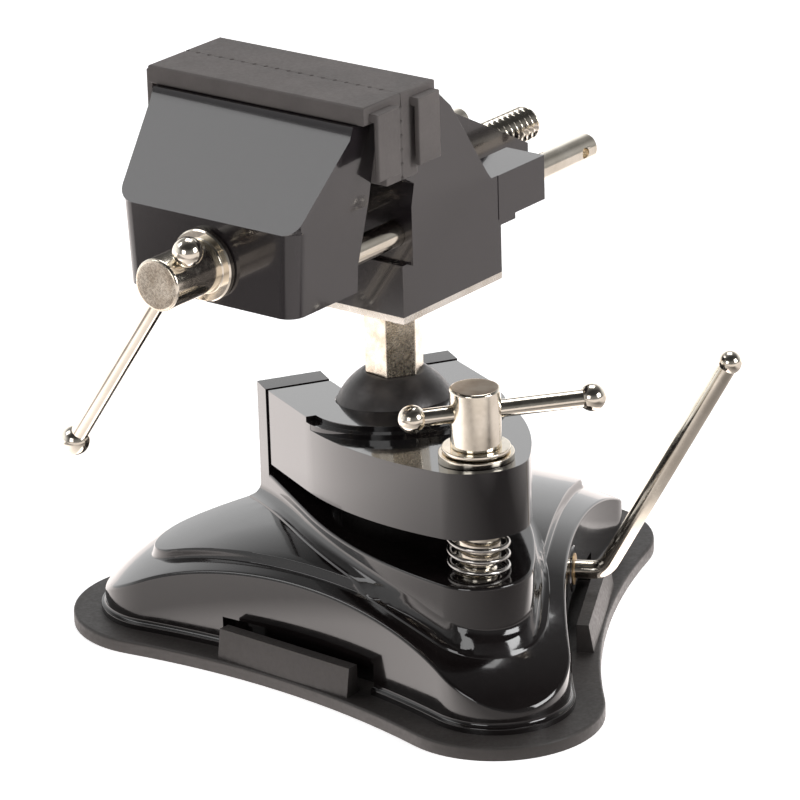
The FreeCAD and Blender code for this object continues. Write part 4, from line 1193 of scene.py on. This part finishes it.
@dataclass(frozen=True)
class Coil:
    """Sizes of a spring: coil radius to the wire's middle, wire radius, turns, and both ends' heights."""

    radius: float
    wire: float
    turns: float
    low: float
    high: float


class CoilTree:
    """Geometry Nodes tree that winds a spring of round wire about the upright axis."""

    TURN_STEPS = 48
    WIRE_SIDES = 16
    INPUTS = (("Coil Radius", 8.0 * MM), ("Wire Radius", 0.6 * MM), ("Turns", 3.0), ("Height", 10.0 * MM))

    def __init__(self) -> None:
        """Build the tree with its named inputs."""
        tree = bpy.data.node_groups.new("coil", "GeometryNodeTree")
        tree.interface.new_socket("Geometry", in_out="INPUT", socket_type="NodeSocketGeometry")
        self.sockets: dict[str, str] = {}
        for title, value in self.INPUTS:
            socket = tree.interface.new_socket(title, in_out="INPUT", socket_type="NodeSocketFloat")
            socket.default_value = value
            self.sockets[title] = socket.identifier
        finish = tree.interface.new_socket("Finish", in_out="INPUT", socket_type="NodeSocketMaterial")
        self.sockets["Finish"] = finish.identifier
        tree.interface.new_socket("Geometry", in_out="OUTPUT", socket_type="NodeSocketGeometry")
        nodes = Nodes(tree)
        given = nodes.add("NodeGroupInput")
        spiral = nodes.add("GeometryNodeCurveSpiral")
        spiral.inputs["Resolution"].default_value = self.TURN_STEPS
        for title, socket in (("Turns", "Rotations"), ("Coil Radius", "Start Radius"),
                              ("Coil Radius", "End Radius"), ("Height", "Height")):
            nodes.join(given.outputs[title], spiral.inputs[socket])
        wire = nodes.add("GeometryNodeCurvePrimitiveCircle")
        wire.inputs["Resolution"].default_value = self.WIRE_SIDES
        nodes.join(given.outputs["Wire Radius"], wire.inputs["Radius"])
        swept = nodes.add("GeometryNodeCurveToMesh")
        swept.inputs["Fill Caps"].default_value = True
        nodes.join(spiral.outputs["Curve"], swept.inputs["Curve"])
        nodes.join(wire.outputs["Curve"], swept.inputs["Profile Curve"])
        real = nodes.add("GeometryNodeRealizeInstances")
        paint = nodes.add("GeometryNodeSetMaterial")
        result = nodes.add("NodeGroupOutput")
        nodes.join(swept.outputs["Mesh"], real.inputs["Geometry"])
        nodes.join(real.outputs["Geometry"], paint.inputs["Geometry"])
        nodes.join(given.outputs["Finish"], paint.inputs["Material"])
        nodes.join(paint.outputs["Geometry"], result.inputs["Geometry"])
        self.tree = tree

    def wind(self, name: str, coil: Coil, place: Matrix, finish: Finish) -> bpy.types.Object:
        """Wind one spring and stand it at a place.

        Args:
            name: Name of the object.
            coil: The spring's sizes.
            place: Where the spring's axis stands.
            finish: The finish of the wire.

        Returns:
            The spring as a plain mesh.
        """
        item = Mesher.linked(name, bpy.data.meshes.new(name))
        modifier = item.modifiers.new("Coil", "NODES")
        modifier.node_group = self.tree
        height = coil.high - coil.low - 2 * coil.wire
        values = {"Coil Radius": coil.radius * MM, "Wire Radius": coil.wire * MM, "Turns": coil.turns,
                  "Height": height * MM, "Finish": finish.material()}
        for title, value in values.items():
            modifier[self.sockets[title]] = value
        Mesher.settled(item)
        item.data.transform(place @ turned(0, 0, coil.low + coil.wire))
        bm = bmesh.new()
        bm.from_mesh(item.data)
        bmesh.ops.recalc_face_normals(bm, faces=bm.faces)
        bm.to_mesh(item.data)
        bm.free()
        return Mesher.smooth(item, 60)


@dataclass
class Springs:
    """The clamp screw's spring and the two return springs under the casing."""

    clamp: Coil = Coil(8.3, 0.65, 3.0, 40.0, 51.7)
    back: Coil = Coil(3.2, 0.5, 6.0, 6.0, 29.6)
    back_reach: float = 19.5
    held: float = 0.5

    def dress(self) -> None:
        """Wind the springs and stand each on its axis."""
        tree = CoilTree()
        self.stretch(tree, "screw_spring", self.clamp, (0, PLACES.screw_back),
                     "clamp_spring")
        for side, name in ((1, "near_return_spring"), (-1, "far_return_spring")):
            spot = polar(self.back_reach, PLACES.lever_side + side * 90)
            self.stretch(tree, name, self.back, spot, "return_springs")
        LOG.info("springs wound")

    def stretch(self, tree: CoilTree, name: str, coil: Coil, spot: tuple[float, float],
                node: str) -> None:
        """Wind one spring, stand it on its axis and hide its CAD node.

        Args:
            tree: What winds it.
            name: Name of the object.
            coil: Its sizes.
            spot: X and Y of its axis.
            node: The CAD node that it replaces.
        """
        x, y = spot
        spring = tree.wind(name, coil, turned(x, y, 0), Finishes.SPRING)
        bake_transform(spring)
        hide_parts(node)


@dataclass
class SuctionLever:
    """The bent lever with its knob; its shaft runs into the casing."""

    radius: float = 2.7
    shaft_end: float = -19.0
    bend: float = 57.5
    bend_radius: float = 6.0
    bend_steps: int = 14
    run_in: float = 4.0
    out: float = 36.5
    rise: float = 65.1
    knob: float = 3.4

    def dress(self) -> None:
        """Sweep the lever and turn its knob."""
        place = PLACES.lever()
        bend = Vector((0, 0, self.bend))
        end = bend + Vector((-self.rise, 0, self.out))
        ahead = (end - bend).normalized()
        turn = ahead.angle(Vector((0, 0, 1)))
        leg = self.bend_radius * math.tan(turn / 2)
        start = bend - Vector((0, 0, leg))
        centre = start + Vector((-self.bend_radius, 0, 0))
        path = [Vector((0, 0, self.shaft_end)), Vector((0, 0, start.z - self.run_in))]
        for x, z in arc((0.0, 0.0), 1.0, 0.0, turn, self.bend_steps):
            path.append(centre + Vector((x, 0, z)) * self.bend_radius)
        path += [path[-1] + ahead * self.run_in, end]
        lever = Mesher.sweep("lever_arm", path, self.radius, place, 48)
        Mesher.smooth(lever)
        place_piece(lever, Finishes.NICKEL, "lever", "lever_rod")
        aim = ahead.to_track_quat("Z", "Y").to_matrix().to_4x4()
        knob = Mesher.lathe("lever_ball", ball_profile(self.knob, self.radius),
                            place @ Matrix.Translation(end * MM) @ aim, 64)
        Mesher.smooth(knob, 50)
        place_piece(knob, Finishes.NICKEL, "lever", "lever_knob")


# ---- the head


@dataclass
class BallJoint:
    """The ball, its seat and the hexagonal stem with its mount plate."""

    radius: float = 18.4
    flat: float = 9.0
    bore: float = 5.06
    spigot: float = 24.0
    stem_edge: float = 0.35
    seat_edge: float = 0.4
    plate_edge: float = 0.3
    steps: int = 60

    def dress(self) -> None:
        """Turn the ball; round the stem, plate and seat."""
        rise = math.sqrt(self.radius ** 2 - self.flat ** 2)
        start = math.asin(self.flat / self.radius)
        profile = [(0.0, rise - self.spigot), (self.bore, rise - self.spigot), (self.bore, rise),
                   (self.flat - 0.3, rise)]
        profile += arc((0.0, 0.0), self.radius, math.pi / 2 - start, -math.pi / 2, self.steps)
        profile[-1] = (0.0, -self.radius)
        place = PLACES.head() @ turned(0, 0, PLACES.ball_height)
        ball = Mesher.lathe("swivel_ball", profile, place, 128)
        Mesher.smooth(ball)
        place_piece(ball, Finishes.BALL, "ball", "ball")
        for piece in (RoundedPiece("ball_seat", "seat_ring", "base", Finishes.RESIN, self.seat_edge),
                      RoundedPiece("hex_stem", "hexagon_stem", "head", Finishes.CAST_NICKEL, self.stem_edge),
                      RoundedPiece("mount_plate", "steel_plate", "head", Finishes.ZINC, self.plate_edge),
                      RoundedPiece("plate_screws", "mount_screws", "head", Finishes.ZINC, self.plate_edge)):
            piece.dress()


@dataclass
class Jaws:
    """Both jaws with their guide rods and soft covers."""

    soft_edge: float = 0.6
    wide_edge: float = 1.9
    cover_edge: float = 0.5
    rod_edge: float = 0.2
    slant_foot: float = 146.5
    slant_top: float = 168.0
    slant_front: float = -18.0
    slant_run: float = 10.0
    narrow_share: float = 0.35
    jaw_bottom: float = 122.6
    flat_turn: float = 28.0
    short_run: float = 3.0
    near: float = 0.5

    def in_jaws(self, point: Vector) -> Vector:
        """Give a point of the frame, in millimetres, in the jaws' own coordinates."""
        return (PLACES.jaws().inverted() @ (point * MM)) / MM

    def dress(self) -> None:
        """Round the castings, rods and covers and finish them.

        The moving jaw's bevels are wider beside its slanted face and along its bottom.
        """
        for piece in (
                RoundedPiece("moving_jaw", "jaw_front", "moving_jaw", Finishes.SATIN, self.wide_edge, 4,
                             weight=self.moving_share),
                RoundedPiece("fixed_jaw", "jaw_rear", "head", Finishes.SATIN, self.soft_edge, 3),
                *(RoundedPiece(f"{side}_guide_rod", f"guide_rod_{side}", "moving_jaw", Finishes.NICKEL,
                               self.rod_edge, angle=40) for side in ("left", "right")),
                *(RoundedPiece(node, name, body, Finishes.COVER, self.cover_edge, weight=self.cover_share)
                  for node, name, body in (("fixed_cover", "soft_cover_rear", "head"),
                                           ("moving_cover", "soft_cover_front", "moving_jaw")))):
            piece.dress()

    @staticmethod
    def cover_share(middle: Vector, run: Vector, turn: float) -> float:
        """Round only a cover's long edges, not those of its teeth."""
        return 1.0 if run.length > 6.0 and turn > 60 else 0.0

    def moving_share(self, middle: Vector, run: Vector, turn: float) -> float:
        """Give the share of the wide rounding for an edge of the moving jaw.

        Args:
            middle: The edge's middle.
            run: The edge's run.
            turn: The angle between its faces in degrees.

        Returns:
            1 beside the slanted face and along the bottom, less elsewhere, 0 for flat edges.
        """
        if turn < self.flat_turn:
            return 0.0
        local = self.in_jaws(middle)
        if local.z < self.jaw_bottom + self.near and run.length > self.short_run:
            return 1.0
        slanted = (self.slant_foot + self.near < local.z < self.slant_top and local.y < self.slant_front
                   and abs(run.z) > self.slant_run)
        return 1.0 if slanted else self.narrow_share


@dataclass
class LeadScrew:
    """The lead screw with its real thread, and the tommy bar through its head."""

    face: float = 60.5
    head: float = 7.4
    chamfer: float = 0.9
    collar: float = 10.2
    collar_length: float = 2.2
    neck: tuple[float, float] = (0.5, 0.6)
    bevel: float = 0.4
    face_sink: float = 0.25
    face_inset: float = 2.6
    jaw_face: float = 39.3
    crest: float = 5.1
    root: float = 4.0
    pitch: float = 2.5
    flat: float = 0.12
    taper: float = 0.14
    taper_length: float = 1.5
    sides: int = 40
    turn_steps: int = 8
    thread_start: float = -10.0
    rear: float = 109.0
    drop: float = 55.2
    tommy_in: float = 6.5
    bar_radius: float = 2.5
    tommy_long: float = 66.5
    tommy_ball: float = 4.2

    def thread(self) -> bpy.types.Object:
        """Build the threaded stretch as one helical surface.

        Returns:
            The thread.
        """
        sides = self.sides
        length = self.rear - self.thread_start
        rows = int(length / self.pitch * self.turn_steps)
        rings = []
        for row in range(rows + 1):
            height = self.thread_start + length * row / rows
            from_end = min((self.rear - height) / self.taper_length, 1.0)
            ring = []
            for step, (x, y) in enumerate(circle(sides)):
                phase = (height / self.pitch - step / sides) % 1.0
                depth = abs(phase - 0.5) * 2
                held = min(max((depth - self.flat) / (1 - 2 * self.flat), 0.0), 1.0)
                radius = (self.root + (self.crest - self.root) * held) * (1 - self.taper * (1 - from_end))
                ring.append(Vector((radius * x, radius * y, height)))
            rings.append(ring)
        return Mesher.loops("thread", rings, PLACES.lead())

    def dress(self) -> None:
        """Build the screw and its bar."""
        place = PLACES.lead() @ turned(0, 0, 0, "Z", 180 - self.drop)
        cut = self.chamfer
        profile = [(0, -self.face + self.face_sink), (self.head - self.face_inset, -self.face)]
        profile += arc((self.head - cut, cut - self.face), cut, -math.pi / 2, 0.0, 4)
        collar = -self.jaw_face - self.collar_length
        neck_out, neck_long = self.neck
        bevel, jaw = self.bevel, -self.jaw_face
        profile += [(self.head, collar - neck_long), (self.head + neck_out, collar),
                    (self.collar - bevel, collar), (self.collar, collar + bevel),
                    (self.collar, jaw - bevel), (self.collar - bevel, jaw), (self.crest, jaw),
                    (self.crest, self.thread_start), (0, self.thread_start)]
        screw = Mesher.lathe("spindle_head", profile, place, 112)
        hole = self.bar_radius + BAR_ROOM
        drill = Mesher.cylinder("drill", hole, -HEAD_REACH, HEAD_REACH,
                                place @ turned(0, 0, self.tommy_in - self.face, "Y", 90))
        Mesher.combined(screw, [drill], "DIFFERENCE")
        Mesher.rounded(screw, HEAD_ROUND, 2, angle=50)
        place_piece(screw, Finishes.NICKEL, "lead_screw", "lead_screw")
        local = PLACES.lead().inverted()
        refinish(screw, Finishes.CAST_NICKEL,
                 lambda face: (local @ face.center).z < (-self.face + 0.4) * MM)
        thread = self.thread()
        Mesher.smooth(thread, 35)
        place_piece(thread, Finishes.NICKEL, "lead_screw", "lead_screw")
        hole_stop = math.sqrt(self.tommy_ball ** 2 - hole ** 2)
        bars = BarPair("tommy_bar", "tommy_bar", "tommy_bar_ends", "tommy", self.bar_radius,
                       self.head + hole_stop + 0.05, self.tommy_long, self.tommy_ball)
        bars.dress(place @ turned(0, 0, self.tommy_in - self.face, "Y", 90))


@dataclass
class InnerParts:
    """Bushes, pins, cam and clips: CAD solids that keep their own meshes."""

    finishes: tuple[tuple[str, Finish], ...] = (
        ("shaft_bush", Finishes.BRONZE), ("inner_bush", Finishes.BRONZE), ("hinge_pin", Finishes.ZINC),
        ("screw_insert", Finishes.ZINC), ("shaft_clip", Finishes.SPRING), ("cam", Finishes.ZINC),
        ("cam_pin", Finishes.ZINC), ("pad_stud", Finishes.ZINC), ("backing_disc", Finishes.ZINC),
        ("lead_nut", Finishes.BRONZE), ("rod_screws", Finishes.ZINC), ("screw_clip", Finishes.SPRING))

    def dress(self) -> None:
        """Give each inner piece its finish."""
        for node, finish in self.finishes:
            finish.dress(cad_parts[node])
        LOG.info("inner parts finished")


# ---- the studio


@dataclass(frozen=True)
class Lamp:
    """A square soft lamp that faces the vise."""

    name: str
    place: tuple[float, float, float]
    size: float
    power: float

    def hang(self) -> None:
        """Put the lamp in the scene, aimed at the vise's middle."""
        data = bpy.data.lights.new(self.name, "AREA")
        data.size = self.size
        data.energy = self.power
        lamp = bpy.data.objects.new(self.name, data)
        bpy.context.scene.collection.objects.link(lamp)
        aim = (Vector((0, 0, 0.07)) - Vector(self.place)).to_track_quat("-Z", "Y").to_matrix().to_4x4()
        lamp.matrix_world = Matrix.Translation(self.place) @ aim


@dataclass(frozen=True)
class Card:
    """A ramp of brightness that gloss sees on the floor, along one measure of the place there."""

    measure: str
    low: float
    high: float
    start: float
    end: float


@dataclass
class Studio:
    """Camera, pale floor, and soft light."""

    focal_pixels: float = 4834.977
    image: float = 800.0
    sensor: float = 36.0
    camera: tuple[float, float, float] = (-446.0, -1213.2, 566.3)
    look: tuple[float, float, float] = (1.20, 5.56, 67.93)
    roll: float = -1.75
    far: float = 20.0
    floor_reach: float = 4000.0
    floor_tone: float = 0.93
    lift: float = 0.8
    glow_colour: tuple[float, float, float, float] = (1.0, 0.93, 0.90, 1.0)
    left_cards: tuple[Card, Card] = (Card("lean", -0.25, 0.08, 0.2, 1.2), Card("lean", 0.08, 0.20, 0.0, 1.0))
    left_end: Card = Card("away", 0.25, 0.34, 1.0, 0.15)
    cards: tuple[Card, ...] = (
        Card("away", 0.085, 0.115, 2.6, 0.0), Card("x", 0.12, 0.20, 0.0, 0.9),
        Card("y", 0.02, 0.12, 0.0, 1.9), Card("y", -0.22, -0.28, 0.0, 1.0))
    room_light: float = 0.5
    room_depth: tuple[float, ...] = (-0.25, 0.5, 0.25, 1.6)
    room_height: tuple[float, ...] = (0.30, 0.6, 1.0, 0.2)
    lamps: tuple[Lamp, ...] = (
        Lamp("left_softbox", (-0.77, 0.40, 0.93), 0.5, 2.0),
        Lamp("top_softbox", (0.25, 0.45, 1.15), 0.6, 4.5),
        Lamp("right_softbox", (0.75, -0.85, 0.55), 0.5, 7.0),
        Lamp("front_softbox", (-0.9, -0.8, 0.45), 0.5, 2.6))

    def build(self) -> None:
        """Set the view, the floor, the lamps and the world."""
        scene = bpy.context.scene
        scene.view_settings.view_transform = "Standard"
        data = bpy.data.cameras.new("camera")
        data.sensor_width = self.sensor
        data.lens = self.focal_pixels / self.image * self.sensor
        data.clip_end = self.far
        camera = bpy.data.objects.new("camera", data)
        scene.collection.objects.link(camera)
        place, look = Vector(self.camera) * MM, Vector(self.look) * MM
        aim = (look - place).to_track_quat("-Z", "Y").to_matrix().to_4x4()
        roll = Matrix.Rotation(math.radians(self.roll), 4, "Z")
        camera.matrix_world = Matrix.Translation(place) @ aim @ roll
        scene.camera = camera
        self.floor()
        self.world()
        for lamp in self.lamps:
            lamp.hang()

    def floor(self) -> None:
        """Lay the pale floor: it keeps the shadow, and gloss sees bright cards on it."""
        reach = self.floor_reach
        floor = Mesher.block("floor", (-reach, -reach, -20), (reach, reach, -0.02))
        material = bpy.data.materials.new("pale_floor")
        material.use_nodes = True
        nodes = Nodes(material.node_tree)
        shader = material.node_tree.nodes["Principled BSDF"]
        tone = self.floor_tone
        nodes.fill(shader, {"Base Color": (tone, tone, tone, 1.0), "Roughness": 0.9,
                            "Specular IOR Level": 0.0, "Emission Color": (1.0, 1.0, 1.0, 1.0)})
        path = nodes.add("ShaderNodeLightPath")
        lift = nodes.spread(path.outputs["Is Camera Ray"], 0.0, 1.0, 0.0, self.lift)
        nodes.join(lift, shader.inputs["Emission Strength"])
        glow = nodes.add("ShaderNodeEmission")
        glow.inputs["Color"].default_value = self.glow_colour
        nodes.join(self.cards_seen(nodes), glow.inputs["Strength"])
        mix = nodes.add("ShaderNodeMixShader")
        nodes.join(path.outputs["Is Glossy Ray"], mix.inputs["Fac"])
        nodes.join(shader.outputs["BSDF"], mix.inputs[1])
        nodes.join(glow.outputs["Emission"], mix.inputs[2])
        nodes.join(mix.outputs["Shader"], material.node_tree.nodes["Material Output"].inputs["Surface"])
        floor.data.materials.append(material)

    def cards_seen(self, nodes: Nodes) -> bpy.types.NodeSocket:
        """Build the brightness that gloss sees over the floor.

        Args:
            nodes: The floor material's nodes.

        Returns:
            The brightness at a place on the floor.
        """
        place = nodes.add("ShaderNodeTexCoord").outputs["Object"]
        parts = nodes.add("ShaderNodeSeparateXYZ")
        nodes.join(place, parts.inputs["Vector"])
        away = nodes.add("ShaderNodeVectorMath", operation="LENGTH")
        nodes.join(place, away.inputs[0])
        measures = {"x": parts.outputs["X"], "y": parts.outputs["Y"], "away": away.outputs["Value"],
                    "lean": nodes.math("SUBTRACT", parts.outputs["Y"], parts.outputs["X"])}
        seen = {card: nodes.spread(measures[card.measure], card.low, card.high, card.start, card.end)
                for card in (*self.left_cards, self.left_end, *self.cards)}
        near, far = self.left_cards
        total = nodes.math("MULTIPLY", nodes.math("ADD", seen[near], seen[far]), seen[self.left_end])
        for card in self.cards:
            total = nodes.math("MAXIMUM", total, seen[card])
        return total

    def world(self) -> None:
        """Surround the vise with a room that is white behind it and dim where the camera stands."""
        world = bpy.data.worlds.new("room")
        bpy.context.scene.world = world
        world.use_nodes = True
        nodes = Nodes(world.node_tree)
        plain = world.node_tree.nodes["Background"]
        plain.inputs["Strength"].default_value = self.room_light
        parts = nodes.add("ShaderNodeSeparateXYZ")
        nodes.join(nodes.add("ShaderNodeTexCoord").outputs["Generated"], parts.inputs["Vector"])
        backdrop = nodes.add("ShaderNodeBackground")
        level = nodes.math("MULTIPLY", nodes.spread(parts.outputs["Y"], *self.room_depth),
                           nodes.spread(parts.outputs["Z"], *self.room_height))
        nodes.join(level, backdrop.inputs["Strength"])
        path = nodes.add("ShaderNodeLightPath")
        mix = nodes.add("ShaderNodeMixShader")
        nodes.join(nodes.math("MAXIMUM", path.outputs["Is Camera Ray"], path.outputs["Is Glossy Ray"]),
                   mix.inputs["Fac"])
        nodes.join(plain.outputs["Background"], mix.inputs[1])
        nodes.join(backdrop.outputs["Background"], mix.inputs[2])
        nodes.join(mix.outputs["Shader"], world.node_tree.nodes["World Output"].inputs["Surface"])


# ---- all together


def main() -> None:
    """Build each sub-assembly in turn."""
    logging.basicConfig(level=logging.INFO, format="%(message)s")
    Studio().build()
    for assembly in (SuctionPad(), BaseCasing(), ClampPlate(), Springs(), SuctionLever(), BallJoint(),
                     Jaws(), LeadScrew(), InnerParts()):
        assembly.dress()
        LOG.info("%s done", type(assembly).__name__)


if __name__ == "__main__":
    main()
